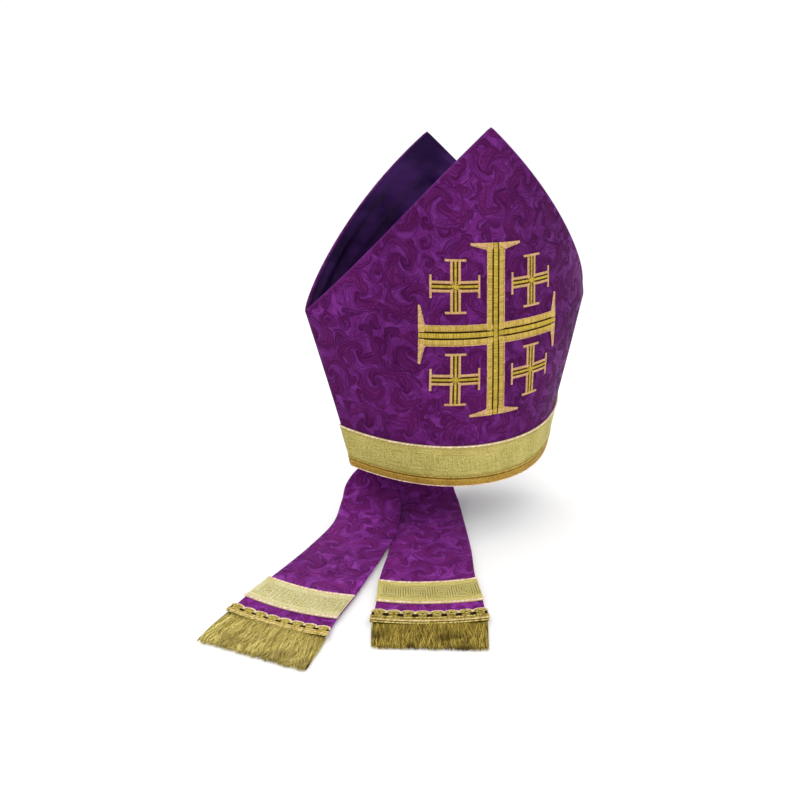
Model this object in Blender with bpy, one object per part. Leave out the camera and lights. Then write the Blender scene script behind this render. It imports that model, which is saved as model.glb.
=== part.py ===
import math
from functools import lru_cache

import bmesh
import bpy
from mathutils import Vector

# A bishop's mitre: front and back panels that part above the shoulders into two horns,
# a soft gusset between the horns, galloon and edging round the rim, an embroidered
# cross on the front, and two fringed lappets sewn inside the back of the rim.
# Metres, +Z up, +X to the right of the front. The origin is the middle of the rim.

# Panels: a section starts flat across the centre line and turns towards the side seam
RIM_HALF = 0.1443           # centre line to side seam along the rim
SHOULDER_HALF = 0.1838      # centre line to side seam where the horns part
SHOULDER_HEIGHT = 0.1478    # rim to shoulder, up the pattern
APEX_HEIGHT = 0.3350        # rim to horn tip
APEX_DEPTH = 0.0620         # horn tip from the middle plane
CORNER_LIFT = 0.0240        # rise of the pattern at the shoulder corner
PANEL_WALL = 0.0020         # cloth over stiffening
RIM_TURN = 0.944            # whole turn of a section, in radians
SHOULDER_TURN = 1.106
APEX_TURN = 1.371
RIM_FULLNESS = 1.37         # share of the turn that comes evenly, the rest comes near the seam
SHOULDER_FULLNESS = 0.54
HORN_BULGE = 0.105          # outward bow of the horn's edge, as a share of the shoulder
HORN_SKEW = -0.15           # moves that bow along the edge

# Inner cloth
LINING_WALL = 0.0010
LINING_INSET = 0.0029       # lining's side from the horn's edge
LINING_DROP = 0.0026        # lining's point below the horn's tip
GUSSET_WALL = 0.0012
GUSSET_SAG = 0.34           # depth of the gusset's trough, as a share of its half-width
GUSSET_GAP = 0.0008         # hem of the gusset, which slopes, to the panel
GUSSET_SHORT = 1            # columns of the panel left free at each side corner

# Trimming of the rim
EDGING_HEIGHT = 0.0080
EDGING_THICK = 0.0014
GALLOON_HEIGHT = 0.0330
GALLOON_THICK = 0.0010

# Embroidered cross on the front panel
CROSS_HEIGHT = 0.1497       # rim to the cross's centre
CROSS_UP = 0.0796           # centre to the end of an upright arm
CROSS_SIDE = 0.0769         # centre to the end of a side arm
CROSS_ARM = 0.0095          # half-width of an arm
CROSS_SPIKE = 0.0265        # arm's centre line to a spike's point
CROSS_SPIKE_ROOT = 0.0068   # thickness of a spike where it leaves the arm
CROSS_SPIKE_TIP = 0.0022
CROSS_RAISE = 0.0013        # padded stitching above the cloth
SMALL_PLACE = 0.0432        # small cross from the main cross's centre lines
SMALL_ARM_LENGTH = 0.0250
SMALL_ARM = 0.0055
SMALL_BAR = 0.0102          # half-length of a small cross's end bar
SMALL_BAR_THICK = 0.0024
SMALL_RAISE = 0.0010

# Lappets
LAPPET_WALL = 0.0020
LAPPET_TUCK = 0.0200        # length sewn inside the rim
LAPPET_SEAT_GAP = 0.0008    # sewn root to the back panel
LAPPET_ROOT_WIDTH = 0.0560
LAPPET_END_WIDTH = 0.0920
LAPPET_DROP = 0.0570        # rim to the level where the lappets lie
LAPPET_REACH = 0.2500       # unit of the lappets' level run
LEFT_ROOT = -0.0560         # lappet's centre line along the rim
RIGHT_ROOT = 0.0080
LAPPET_GALLOON = 0.0355     # width of the galloon across a lappet
LAPPET_GALLOON_THICK = 0.0009
GALLOON_TO_HEADER = 0.0125
HEADER_HEIGHT = 0.0110
HEADER_THICK = 0.0018
HEADER_OVERHANG = 0.0010    # header past each side of the lappet
HEADER_LAP = 0.0025         # header over the fringe's head
FRINGE_LENGTH = 0.0420
FRINGE_HEAD = 0.0050
FRINGE_THICK = 0.0036
FRINGE_LOCKS = 16
FRINGE_UNEVEN = 0.05        # shortest lock, as a share taken off the longest
FRINGE_SWAY = 0.03          # lean of a lock's end, as a share of the locks' spacing

GAP = 0.0003                # between pieces that are sewn together
LAYER_GAP = 0.0004          # between curved layers
STITCH_GAP = 0.0005         # under the embroidery

COLUMNS = 24
BODY_ROWS = 6
HORN_SHARES = (0.14, 0.28, 0.42, 0.56, 0.70, 0.82, 0.92, 1.0)
GUSSET_ROWS = 6
SECTION_STEPS = 48
TUCK_ROWS = 2
LAPPET_ROWS = 24
LAPPET_COLUMNS = 4
GALLOON_ROWS = 3
CROSS_STEPS = 6             # cells along an arm of the main cross
SMALL_STEPS = 2
SMOOTH_ANGLE = math.radians(35.0)

# Spikes of the main cross, from the arm's side out to the point
SPIKE_ROWS = (
    dict(out=0.0, taper=0.0),
    dict(out=0.45, taper=0.57),
    dict(out=1.0, taper=1.0),
)

# Locks of the fringe: share of the length, half-width as a share of the locks' spacing,
# and thickness as a share of the fringe's
LOCK_ROWS = (
    dict(down=0.12, half=0.465, thick=0.90),
    dict(down=0.60, half=0.455, thick=1.0),
    dict(down=1.0, half=0.36, thick=0.55),
)

# Way of each lappet below the rim. x and y are shares of the reach from the root's centre,
# left and right are the heights of the two edges as shares of the drop.
LAPPET_COURSE = {
    "left": (
        dict(x=-0.044, y=0.013, yaw=8.0, left=-0.30, right=-0.35),
        dict(x=-0.076, y=-0.007, yaw=-6.0, left=-0.53, right=-0.63),
        dict(x=-0.120, y=-0.081, yaw=-40.0, left=-0.81, right=-0.81),
        dict(x=-0.212, y=-0.221, yaw=-48.0, left=-0.95, right=-0.915),
        dict(x=-0.356, y=-0.365, yaw=-47.5, left=-1.0, right=-0.955),
        dict(x=-0.546, y=-0.541, yaw=-52.0, left=-1.0, right=-1.0),
        dict(x=-0.666, y=-0.643, yaw=-53.0, left=-1.0, right=-1.0),
        dict(x=-0.732, y=-0.707, yaw=-53.0, left=-1.0, right=-1.0),
    ),
    "right": (
        dict(x=-0.011, y=-0.026, yaw=-10.0, left=-0.42, right=-0.42),
        dict(x=-0.071, y=-0.074, yaw=-18.0, left=-0.80, right=-0.77),
        dict(x=-0.119, y=-0.196, yaw=-24.0, left=-0.985, right=-0.98),
        dict(x=-0.187, y=-0.330, yaw=-25.5, left=-1.0, right=-1.0),
        dict(x=-0.315, y=-0.570, yaw=-25.5, left=-1.0, right=-1.0),
        dict(x=-0.419, y=-0.746, yaw=-27.0, left=-1.0, right=-1.0),
        dict(x=-0.481, y=-0.876, yaw=-28.5, left=-1.0, right=-1.0),
        dict(x=-0.531, y=-0.970, yaw=-28.5, left=-1.0, right=-1.0),
    ),
}

COLOURS = {
    "damask": ((0.115, 0.016, 0.150), 0.55),
    "satin": ((0.030, 0.008, 0.070), 0.40),
    "galloon": ((0.560, 0.500, 0.200), 0.42),
    "edging": ((0.520, 0.310, 0.080), 0.45),
    "embroidery": ((0.500, 0.350, 0.070), 0.40),
    "fringe": ((0.330, 0.250, 0.060), 0.45),
}


def blend(first, last, share):
    return first + (last - first) * share


def make_material(finish):
    if finish in bpy.data.materials:
        return bpy.data.materials[finish]
    colour, roughness = COLOURS[finish]
    material = bpy.data.materials.new(finish)
    material.use_nodes = True
    shader = material.node_tree.nodes["Principled BSDF"]
    shader.inputs["Base Color"].default_value = (*colour, 1.0)
    shader.inputs["Roughness"].default_value = roughness
    shader.inputs["Metallic"].default_value = 0.0
    return material


def make_object(name, points, faces, finish):
    mesh = bpy.data.meshes.new(name)
    mesh.from_pydata([tuple(point) for point in points], [], faces)
    shape = bmesh.new()
    shape.from_mesh(mesh)
    bmesh.ops.recalc_face_normals(shape, faces=shape.faces)
    bmesh.ops.triangulate(shape, faces=shape.faces)
    shape.to_mesh(mesh)
    shape.free()
    mesh.shade_smooth()
    mesh.set_sharp_from_angle(angle=SMOOTH_ANGLE)
    mesh.materials.append(make_material(finish))
    piece = bpy.data.objects.new(name, mesh)
    bpy.context.scene.collection.objects.link(piece)
    return piece


# A closed wall over plan cells: each cell lists its corner keys, and outer and inner
# give a key's place on the two faces. Walls close the border of the plan.
def make_wall(name, cells, outer, inner, finish):
    keys = sorted({key for cell in cells for key in cell})
    upper = {key: number for number, key in enumerate(keys)}
    lower = {key: number + len(keys) for number, key in enumerate(keys)}
    points = [outer(*key) for key in keys] + [inner(*key) for key in keys]
    faces = [[upper[key] for key in cell] for cell in cells]
    faces += [[lower[key] for key in reversed(cell)] for cell in cells]
    edges = {edge for cell in cells for edge in zip(cell, cell[1:] + cell[:1])}
    for start, end in sorted(edges):
        if (end, start) not in edges:
            faces.append([upper[end], upper[start], lower[start], lower[end]])
    return make_object(name, points, faces, finish)


def grid_cells(columns, rows, pole=False):
    cells = []
    for row in range(rows):
        for column in range(columns):
            low = ((column, row), (column + 1, row))
            if pole and row == rows - 1:
                cells.append(low + ((columns // 2, rows),))
            else:
                cells.append(low + ((column + 1, row + 1), (column, row + 1)))
    return cells


# Section of a panel at one height: its half-length, turn and fullness, and the x and y
# of evenly spaced places from the centre line out
@lru_cache(maxsize=None)
def section(height):
    if height <= SHOULDER_HEIGHT:
        share = height / SHOULDER_HEIGHT
        half = blend(RIM_HALF, SHOULDER_HALF, share)
        turn = blend(RIM_TURN, SHOULDER_TURN, share)
        fullness = blend(RIM_FULLNESS, SHOULDER_FULLNESS, share)
        places = walk(half, turn, fullness)
        depth = places[-1][1]
    else:
        share = (height - SHOULDER_HEIGHT) / (APEX_HEIGHT - SHOULDER_HEIGHT)
        half = SHOULDER_HALF
        turn = blend(SHOULDER_TURN, APEX_TURN, share)
        places = walk(half, turn, SHOULDER_FULLNESS)
        shoulder_depth = walk(half, SHOULDER_TURN, SHOULDER_FULLNESS)[-1][1]
        fullness = SHOULDER_FULLNESS
        depth = blend(shoulder_depth, APEX_DEPTH, share)
    return half, turn, fullness, [(x, y - depth) for x, y in places]


def turn_at(turn, fullness, share):
    return turn * (fullness * share + (1.0 - fullness) * share ** 3)


def walk(half, turn, fullness):
    step = half / SECTION_STEPS
    places = [(0.0, 0.0)]
    for number in range(SECTION_STEPS):
        angle = turn_at(turn, fullness, (number + 0.5) / SECTION_STEPS)
        x, y = places[-1]
        places.append((x + step * math.cos(angle), y + step * math.sin(angle)))
    return places


# Place and turn of the front panel's outer face, arc metres from the centre line
def section_place(height, arc):
    half, turn, fullness, places = section(height)
    if arc >= half:
        x, y = places[-1]
        return x + (arc - half) * math.cos(turn), y + (arc - half) * math.sin(turn), turn
    position = arc / half * SECTION_STEPS
    number = int(position)
    share = position - number
    x = blend(places[number][0], places[number + 1][0], share)
    y = blend(places[number][1], places[number + 1][1], share)
    return x, y, turn_at(turn, fullness, arc / half)


# A point of the front (side 1) or back (side -1) panel, inward metres behind its face
def panel_point(arc, height, inward, side):
    x, y, turn = section_place(height, abs(arc))
    x -= inward * math.sin(turn)
    y += inward * math.cos(turn)
    lift = CORNER_LIFT * (arc / SHOULDER_HALF) ** 2
    return Vector((math.copysign(x, arc), y * side, height + lift))


# Half-width of a panel at one height: to the seam below the shoulder, to the free edge above
def free_half(height):
    if height <= SHOULDER_HEIGHT:
        return section(height)[0]
    share = (height - SHOULDER_HEIGHT) / (APEX_HEIGHT - SHOULDER_HEIGHT)
    rest = 1.0 - share
    bow = share * rest * (HORN_BULGE + HORN_SKEW * (rest - share))
    return SHOULDER_HALF * (rest + bow)


# The same for a layer inside the face, which stops half a gap short of the middle plane
def layer_half(height, inward, inset=0.0):
    half = max(free_half(height) - inset, 0.0)
    x, y, turn = section_place(height, half)
    over = y + inward * math.cos(turn) + GAP / 2
    if over > 0.0:
        half -= over / math.sin(turn)
    return half


def panel_layer(name, heights, outward, inward, side, inset, finish):
    last = len(heights) - 1

    def place(column, row, depth):
        height = heights[row]
        share = column / (COLUMNS / 2) - 1.0
        return panel_point(share * layer_half(height, depth, inset), height, depth, side)

    def outer(column, row):
        return place(column, row, outward)

    def inner(column, row):
        return place(column, row, inward)

    make_wall(name, grid_cells(COLUMNS, last, pole=True), outer, inner, finish)


def make_panels():
    body = [SHOULDER_HEIGHT * row / BODY_ROWS for row in range(BODY_ROWS + 1)]
    horn = [blend(SHOULDER_HEIGHT, APEX_HEIGHT, share) for share in HORN_SHARES]
    panel_layer("front_panel", body + horn, 0.0, PANEL_WALL, 1, 0.0, "damask")
    panel_layer("back_panel", body + horn, 0.0, PANEL_WALL, -1, 0.0, "damask")


def make_linings():
    outward = PANEL_WALL + LAYER_GAP
    inward = outward + LINING_WALL
    start = SHOULDER_HEIGHT + GAP
    top = APEX_HEIGHT - LINING_DROP
    heights = [start] + [blend(start, top, share) for share in HORN_SHARES]
    panel_layer("lining_front", heights, outward, inward, 1, LINING_INSET, "satin")
    panel_layer("lining_back", heights, outward, inward, -1, LINING_INSET, "satin")


# Soft trough between the horns, hung from both panels along the line of the shoulders
def make_gusset():
    inward = PANEL_WALL + GUSSET_GAP
    half = layer_half(SHOULDER_HEIGHT, inward)

    def place(column, row, below):
        arc = half * (2.0 * (column + GUSSET_SHORT) / COLUMNS - 1.0)
        hem = panel_point(arc, SHOULDER_HEIGHT, inward, 1)
        across = 2.0 * row / GUSSET_ROWS - 1.0
        sag = GUSSET_SAG * abs(hem.y) * (1.0 - across ** 2)
        return Vector((hem.x, -hem.y * across, hem.z - sag - below))

    def outer(column, row):
        return place(column, row, 0.0)

    def inner(column, row):
        return place(column, row, GUSSET_WALL)

    cells = grid_cells(COLUMNS - 2 * GUSSET_SHORT, GUSSET_ROWS)
    make_wall("crown_gusset", cells, outer, inner, "satin")


# A strip right round the rim, outside both panels, with its corners on the side seams
def make_rim_strip(name, low, high, thick, finish):
    count = 2 * COLUMNS

    def place(number, row, depth):
        side = 1 if number <= COLUMNS else -1
        column = number if side == 1 else count - number
        height = high if row else low
        turn = section(height)[1]
        half = free_half(height) + depth / math.tan(turn)
        share = column / (COLUMNS / 2) - 1.0
        point = panel_point(share * half, height, -depth, side)
        if column in (0, COLUMNS):
            point.y = 0.0
        return point

    def outer(number, row):
        return place(number, row, LAYER_GAP + thick)

    def inner(number, row):
        return place(number, row, LAYER_GAP)

    cells = []
    for number in range(count):
        after = (number + 1) % count
        cells.append(((number, 0), (after, 0), (after, 1), (number, 1)))
    make_wall(name, cells, outer, inner, finish)


def make_rim_trimming():
    make_rim_strip("rim_edging", 0.0, EDGING_HEIGHT, EDGING_THICK, "edging")
    low = EDGING_HEIGHT + GAP
    make_rim_strip("galloon_band", low, low + GALLOON_HEIGHT, GALLOON_THICK, "galloon")


# Padded stitching in plan: distances across an arm, with the height of the stitching there
# as a share of the full raise. The low places are the lines between the bars.
MAIN_PROFILE = ((0.0, 1.0), (0.29, 0.5), (0.66, 1.0), (1.0, 0.45))
SMALL_PROFILE = ((0.0, 1.0), (0.38, 0.6), (1.0, 0.75))


def profile_height(profile, share):
    share = min(share, 1.0)
    for (low, first), (high, last) in zip(profile, profile[1:]):
        if share <= high:
            return blend(first, last, (share - low) / (high - low))
    return profile[-1][1]


def mirrored(values):
    return [-value for value in reversed(values) if value > 0.0] + list(values)


def cross_cells(arm, ends_x, ends_z, profile, steps):
    across = mirrored([arm * share for share, height in profile])

    def arm_stations(end, first):
        inner = [blend(arm, first, step / steps) for step in range(1, steps + 1)]
        return inner + [end]

    cells = []

    def add(lows, highs, turned):
        for a0, a1 in zip(lows, lows[1:]):
            for b0, b1 in zip(highs, highs[1:]):
                square = ((a0, b0), (a1, b0), (a1, b1), (a0, b1))
                cells.append(tuple((b, a) for a, b in reversed(square)) if turned else square)

    add(across, across, False)
    for end, first, turned in (ends_z + (False,), ends_x + (True,)):
        stations = [arm] + arm_stations(end, first)
        add(across, stations, turned)
        add(across, [-value for value in reversed(stations)], turned)
    return cells


def round_key(x, z):
    return round(x, 6), round(z, 6)


# One embroidered cross about a centre on the front panel. Its arms end in pointed spikes on
# the main cross and in thin bars on the small ones. A row of tips holds a distance out from
# the arm's centre line, and the places there along the arm, back from its end.
def make_cross(name, centre_x, centre_z, arm, ends_x, ends_z, profile, steps, tips, lift):
    cells = cross_cells(arm, ends_x, ends_z, profile, steps)
    edge_height = profile[-1][1]
    heights = {}

    for end, turned in ((ends_z[0], False), (ends_x[0], True)):
        for along_sign in (1, -1):
            for across_sign in (1, -1):
                rows = [[(across * across_sign, (end + along) * along_sign) for along in line]
                        for across, line in tips]
                for row, after in zip(rows, rows[1:]):
                    for place in range(len(row) - 1):
                        quad = (row[place], after[place], after[place + 1], row[place + 1])
                        if along_sign * across_sign < 0:
                            quad = tuple(reversed(quad))
                        if turned:
                            quad = tuple((b, a) for a, b in reversed(quad))
                        cells.append(quad)
                        for corner, point in enumerate(quad):
                            heights.setdefault(round_key(*point), edge_height)

    cells = [tuple(round_key(*point) for point in cell) for cell in cells]

    def raised(x, z):
        if max(abs(x), abs(z)) <= max(ends_x[0], ends_z[0]) and min(abs(x), abs(z)) <= arm + 1e-6:
            return profile_height(profile, min(abs(x), abs(z)) / arm)
        return heights.get((x, z), edge_height)

    def outer(x, z):
        depth = STITCH_GAP + lift * raised(x, z)
        return panel_point(centre_x + x, centre_z + z, -depth, 1)

    def inner(x, z):
        return panel_point(centre_x + x, centre_z + z, -STITCH_GAP, 1)

    make_wall(name, cells, outer, inner, "embroidery")


def make_crosses():
    spikes = []
    for row in SPIKE_ROWS:
        across = blend(CROSS_ARM, CROSS_SPIKE, row["out"])
        thick = blend(CROSS_SPIKE_ROOT, CROSS_SPIKE_TIP, row["taper"])
        spikes.append((across, (-thick, 0.0)))
    ends_x = (CROSS_SIDE, CROSS_SIDE - CROSS_SPIKE_ROOT)
    ends_z = (CROSS_UP, CROSS_UP - CROSS_SPIKE_ROOT)
    make_cross("cross_main", 0.0, CROSS_HEIGHT, CROSS_ARM, ends_x, ends_z, MAIN_PROFILE,
               CROSS_STEPS, spikes, CROSS_RAISE)
    bar = [(across, (-SMALL_BAR_THICK, 0.0)) for across in (SMALL_ARM, SMALL_BAR)]
    ends = (SMALL_ARM_LENGTH, SMALL_ARM_LENGTH - SMALL_BAR_THICK)
    places = ((-1, 1), (1, 1), (-1, -1), (1, -1))
    for number, (x, z) in enumerate(places, start=1):
        make_cross(f"cross_small_{number}", x * SMALL_PLACE, CROSS_HEIGHT + z * SMALL_PLACE,
                   SMALL_ARM, ends, ends, SMALL_PROFILE, SMALL_STEPS, bar, SMALL_RAISE)


# A lappet as rows of points from its sewn root to its end, each with its run from the rim
class Lappet:
    run_step = 0.001
    across_step = 0.01

    def __init__(self, side, root):
        self.side = side
        inward = PANEL_WALL + LAPPET_SEAT_GAP + LAPPET_WALL / 2
        centre = panel_point(root, 0.0, inward, -1)
        level = LAPPET_DROP
        centres = [centre]
        for row in LAPPET_COURSE[side]:
            x = centre.x + row["x"] * LAPPET_REACH
            y = centre.y + row["y"] * LAPPET_REACH
            centres.append(Vector((x, y, level * (row["left"] + row["right"]) / 2)))
        runs = [0.0]
        for before, after in zip(centres, centres[1:]):
            runs.append(runs[-1] + (after - before).length)
        self.length = runs[-1]
        self.runs = [-LAPPET_TUCK] + runs
        self.rows = []
        for height in (LAPPET_TUCK, 0.0):
            half = LAPPET_ROOT_WIDTH / 2
            self.rows.append([panel_point(root + across * half, height, inward, -1)
                              for across in self.stations()])
        for row, middle, run in zip(LAPPET_COURSE[side], centres[1:], runs[1:]):
            half = blend(LAPPET_ROOT_WIDTH, LAPPET_END_WIDTH, run / self.length) / 2
            yaw = math.radians(row["yaw"])
            line = []
            for across in self.stations():
                height = level * blend(row["left"], row["right"], (across + 1.0) / 2)
                line.append(Vector((middle.x + across * half * math.cos(yaw),
                                    middle.y + across * half * math.sin(yaw), height)))
            self.rows.append(line)

    def stations(self):
        return [2.0 * column / LAPPET_COLUMNS - 1.0 for column in range(LAPPET_COLUMNS + 1)]

    def slope(self, column, number):
        before = max(number - 1, 0)
        after = min(number + 1, len(self.rows) - 1)
        way = self.rows[after][column] - self.rows[before][column]
        return way / (self.runs[after] - self.runs[before])

    # Smooth way through one column of the rows, straight on past the last row
    def column_point(self, column, run):
        if run >= self.runs[-1]:
            way = self.rows[-1][column] - self.rows[-2][column]
            way /= self.runs[-1] - self.runs[-2]
            return self.rows[-1][column] + way * (run - self.runs[-1])
        number = max(place for place, start in enumerate(self.runs[:-1]) if start <= run + 1e-9)
        span = self.runs[number + 1] - self.runs[number]
        t = (run - self.runs[number]) / span
        first = self.rows[number][column]
        last = self.rows[number + 1][column]
        out = self.slope(column, number) * span
        into = self.slope(column, number + 1) * span
        return (first * (2 * t ** 3 - 3 * t ** 2 + 1) + out * (t ** 3 - 2 * t ** 2 + t)
                + last * (3 * t ** 2 - 2 * t ** 3) + into * (t ** 3 - t ** 2))

    def middle_point(self, run, across):
        position = (across + 1.0) / 2 * LAPPET_COLUMNS
        column = min(max(int(position), 0), LAPPET_COLUMNS - 1)
        first = self.column_point(column, run)
        last = self.column_point(column + 1, run)
        return blend(first, last, position - column)

    # Point over the lappet's face: run down from the rim, across from -1 to 1, up off the face
    def point(self, run, across, up):
        start = max(run - self.run_step, self.runs[0])
        end = start + 2 * self.run_step
        side = self.across_step
        along = self.middle_point(end, across) - self.middle_point(start, across)
        beside = self.middle_point(run, across + side) - self.middle_point(run, across - side)
        normal = along.cross(beside).normalized()
        return self.middle_point(run, across) + normal * up


def evenly(start, end, steps):
    return [blend(start, end, step / steps) for step in range(steps + 1)]


# A strip that lies along a lappet at the given runs, from one height off its face to another
def make_lappet_strip(name, lappet, runs, widen, low, high, finish):
    def place(column, row, up):
        across = (2.0 * column / LAPPET_COLUMNS - 1.0) * widen
        return lappet.point(runs[row], across, up)

    def outer(column, row):
        return place(column, row, high)

    def inner(column, row):
        return place(column, row, low)

    make_wall(name, grid_cells(LAPPET_COLUMNS, len(runs) - 1), outer, inner, finish)


# Fringe: a head across the lappet's end with a comb of locks grown from its lower side
def make_fringe(name, lappet, widen):
    start = lappet.length + GAP
    root = start + FRINGE_HEAD
    under = -LAPPET_WALL / 2
    points = []
    faces = []

    def add(run, across, up):
        points.append(lappet.point(run, across, up))
        return len(points) - 1

    borders = []
    for number in range(FRINGE_LOCKS + 1):
        across = (2.0 * number / FRINGE_LOCKS - 1.0) * widen
        borders.append((add(start, across, under), add(start, across, -under),
                        add(root, across, -under), add(root, across, under)))
    # the head's lower side is left open for the locks
    for near, far in zip(borders, borders[1:]):
        for corner, other in ((0, 1), (1, 2), (3, 0)):
            faces.append([near[other], far[other], far[corner], near[corner]])
    faces.append(list(borders[0]))
    faces.append(list(reversed(borders[-1])))

    pitch = 2.0 * widen / FRINGE_LOCKS
    reach = FRINGE_LENGTH - FRINGE_HEAD
    length_beat = 2.3
    sway_beat = 1.7
    for number in range(FRINGE_LOCKS):
        middle = (2.0 * (number + 0.5) / FRINGE_LOCKS - 1.0) * widen
        length = reach * (1.0 - FRINGE_UNEVEN * (1.0 + math.sin(length_beat * number)) / 2)
        sway = FRINGE_SWAY * pitch * math.sin(sway_beat * number)
        ring = [borders[number][2], borders[number + 1][2],
                borders[number + 1][3], borders[number][3]]
        for row in LOCK_ROWS:
            run = root + length * row["down"]
            centre = middle + sway * row["down"]
            half = pitch * row["half"]
            high = under + FRINGE_THICK * row["thick"]
            after = [add(run, centre - half, high), add(run, centre + half, high),
                     add(run, centre + half, under), add(run, centre - half, under)]
            for corner in range(4):
                other = (corner + 1) % 4
                faces.append([ring[corner], ring[other], after[other], after[corner]])
            ring = after
        faces.append(ring)
    make_object(name, points, faces, "fringe")


def make_lappets():
    for side, root in (("left", LEFT_ROOT), ("right", RIGHT_ROOT)):
        lappet = Lappet(side, root)
        top = LAPPET_WALL / 2 + GAP
        runs = evenly(-LAPPET_TUCK, 0.0, TUCK_ROWS)
        runs += evenly(0.0, lappet.length, LAPPET_ROWS)[1:]
        make_lappet_strip(f"lappet_{side}", lappet, runs, 1.0,
                          -LAPPET_WALL / 2, LAPPET_WALL / 2, "damask")
        header = lappet.length - HEADER_HEIGHT + HEADER_LAP
        end = header - GALLOON_TO_HEADER
        make_lappet_strip(f"lappet_galloon_{side}", lappet,
                          evenly(end - LAPPET_GALLOON, end, GALLOON_ROWS),
                          1.0, top, top + LAPPET_GALLOON_THICK, "galloon")
        widen = 1.0 + HEADER_OVERHANG / (LAPPET_END_WIDTH / 2)
        make_lappet_strip(f"fringe_header_{side}", lappet, [header, header + HEADER_HEIGHT],
                          widen, top, top + HEADER_THICK, "fringe")
        make_fringe(f"fringe_{side}", lappet, widen)


for old in list(bpy.data.objects):
    bpy.data.objects.remove(old, do_unlink=True)
make_panels()
make_linings()
make_gusset()
make_rim_trimming()
make_crosses()
make_lappets()
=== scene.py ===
import math

import bmesh
import bpy
import numpy as np
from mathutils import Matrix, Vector


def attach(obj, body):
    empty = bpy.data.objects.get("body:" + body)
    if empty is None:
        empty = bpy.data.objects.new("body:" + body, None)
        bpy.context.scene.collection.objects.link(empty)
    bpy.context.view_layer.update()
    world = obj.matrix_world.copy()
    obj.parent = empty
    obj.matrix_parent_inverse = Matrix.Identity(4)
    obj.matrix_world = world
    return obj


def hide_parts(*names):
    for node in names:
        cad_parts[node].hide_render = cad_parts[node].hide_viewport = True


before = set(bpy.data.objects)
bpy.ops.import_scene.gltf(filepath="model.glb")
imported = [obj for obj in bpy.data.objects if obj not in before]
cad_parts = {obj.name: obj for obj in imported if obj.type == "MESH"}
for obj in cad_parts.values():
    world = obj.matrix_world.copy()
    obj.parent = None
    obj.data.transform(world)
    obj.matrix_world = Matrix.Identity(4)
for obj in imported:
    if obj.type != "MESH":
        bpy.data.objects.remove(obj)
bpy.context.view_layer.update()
scene = bpy.context.scene

# The mitre's pattern, as the solids have it: metres and radians, front is -y
mitre = {
    "rimHalf": 0.1443,
    "shoulderHalf": 0.1838,
    "shoulderHeight": 0.1478,
    "apexHeight": 0.3350,
    "apexDepth": 0.0620,
    "cornerLift": 0.0240,
    "wall": 0.0020,
    "rimTurn": 0.944,
    "shoulderTurn": 1.106,
    "apexTurn": 1.371,
    "rimFullness": 1.37,
    "shoulderFullness": 0.54,
    "hornBulge": 0.105,
    "hornSkew": -0.15,
    "seamRound": 0.0030,      # softens the side seams
    "seamLap": 0.0004,        # the sewn panels run into each other by this much
}


def lerp(first, last, share):
    return first + (last - first) * share


def smooth(low, high, value):
    share = np.clip((value - low) / (high - low), 0.0, 1.0)
    return share * share * (3.0 - 2.0 * share)


def gauss(distance, width):
    return np.exp(-(distance / width) ** 2)


# A panel's section at one height, walked from its middle: the cloth turns more and more
def walkSection(half, turn, fullness, arc):
    reach = np.minimum(arc / half, 1.0)
    steps = 40
    x = np.zeros_like(arc)
    y = np.zeros_like(arc)
    for number in range(steps):
        share = (number + 0.5) / steps * reach
        angle = turn * (fullness * share + (1.0 - fullness) * share ** 3)
        x += np.cos(angle)
        y += np.sin(angle)
    step = reach * half / steps
    past = np.maximum(arc - half, 0.0)
    angle = turn * (fullness * reach + (1.0 - fullness) * reach ** 3)
    return x * step + past * np.cos(turn), y * step + past * np.sin(turn), angle


def sectionAt(height):
    m = mitre
    low = np.minimum(height / m["shoulderHeight"], 1.0)
    high = np.maximum((height - m["shoulderHeight"]) / (m["apexHeight"] - m["shoulderHeight"]), 0.0)
    half = lerp(m["rimHalf"], m["shoulderHalf"], low)
    fullness = lerp(m["rimFullness"], m["shoulderFullness"], low)
    lowTurn = lerp(m["rimTurn"], m["shoulderTurn"], low)
    turn = lowTurn + (m["apexTurn"] - m["shoulderTurn"]) * high
    depth = lerp(walkSection(half, lowTurn, fullness, half)[1], m["apexDepth"], high)
    return half, turn, fullness, depth


# Place on a panel: arc round from the middle, height above the rim, out from the outer face
def panelPlace(arc, height, out, side=1):
    arc, height, out = np.broadcast_arrays(
        np.asarray(arc, float), np.asarray(height, float), np.asarray(out, float))
    half, turn, fullness, depth = sectionAt(height)
    x, y, angle = walkSection(half, turn, fullness, np.abs(arc))
    x = x + out * np.sin(angle)
    y = y - depth - out * np.cos(angle)
    soft = mitre["seamRound"]
    near = np.maximum(soft - np.abs(y), 0.0)
    x = x - near ** 2 / (2.0 * soft) * np.cos(angle) / np.maximum(np.sin(angle), 0.2)
    lift = mitre["cornerLift"] * (arc / mitre["shoulderHalf"]) ** 2
    return np.stack([np.copysign(x, arc), y * side, height + lift], axis=-1)


def freeHalf(height):
    m = mitre
    low = sectionAt(np.minimum(height, m["shoulderHeight"]))[0]
    share = np.clip((height - m["shoulderHeight"]) / (m["apexHeight"] - m["shoulderHeight"]), 0.0, 1.0)
    rest = 1.0 - share
    bow = share * rest * (m["hornBulge"] + m["hornSkew"] * (rest - share))
    return np.where(height <= m["shoulderHeight"], low, m["shoulderHalf"] * (rest + bow))


# Half-width of a layer: the part that would pass the middle plane is taken off
def layerHalf(height, out, inset=0.0):
    half = np.maximum(freeHalf(height) - inset, 0.0)
    sectionHalf, turn, fullness, depth = sectionAt(height)
    y, angle = walkSection(sectionHalf, turn, fullness, half)[1:]
    over = np.maximum(y - depth - out * np.cos(angle) - mitre["seamLap"] / 2.0, 0.0)
    return half - over / np.sin(turn)


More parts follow.
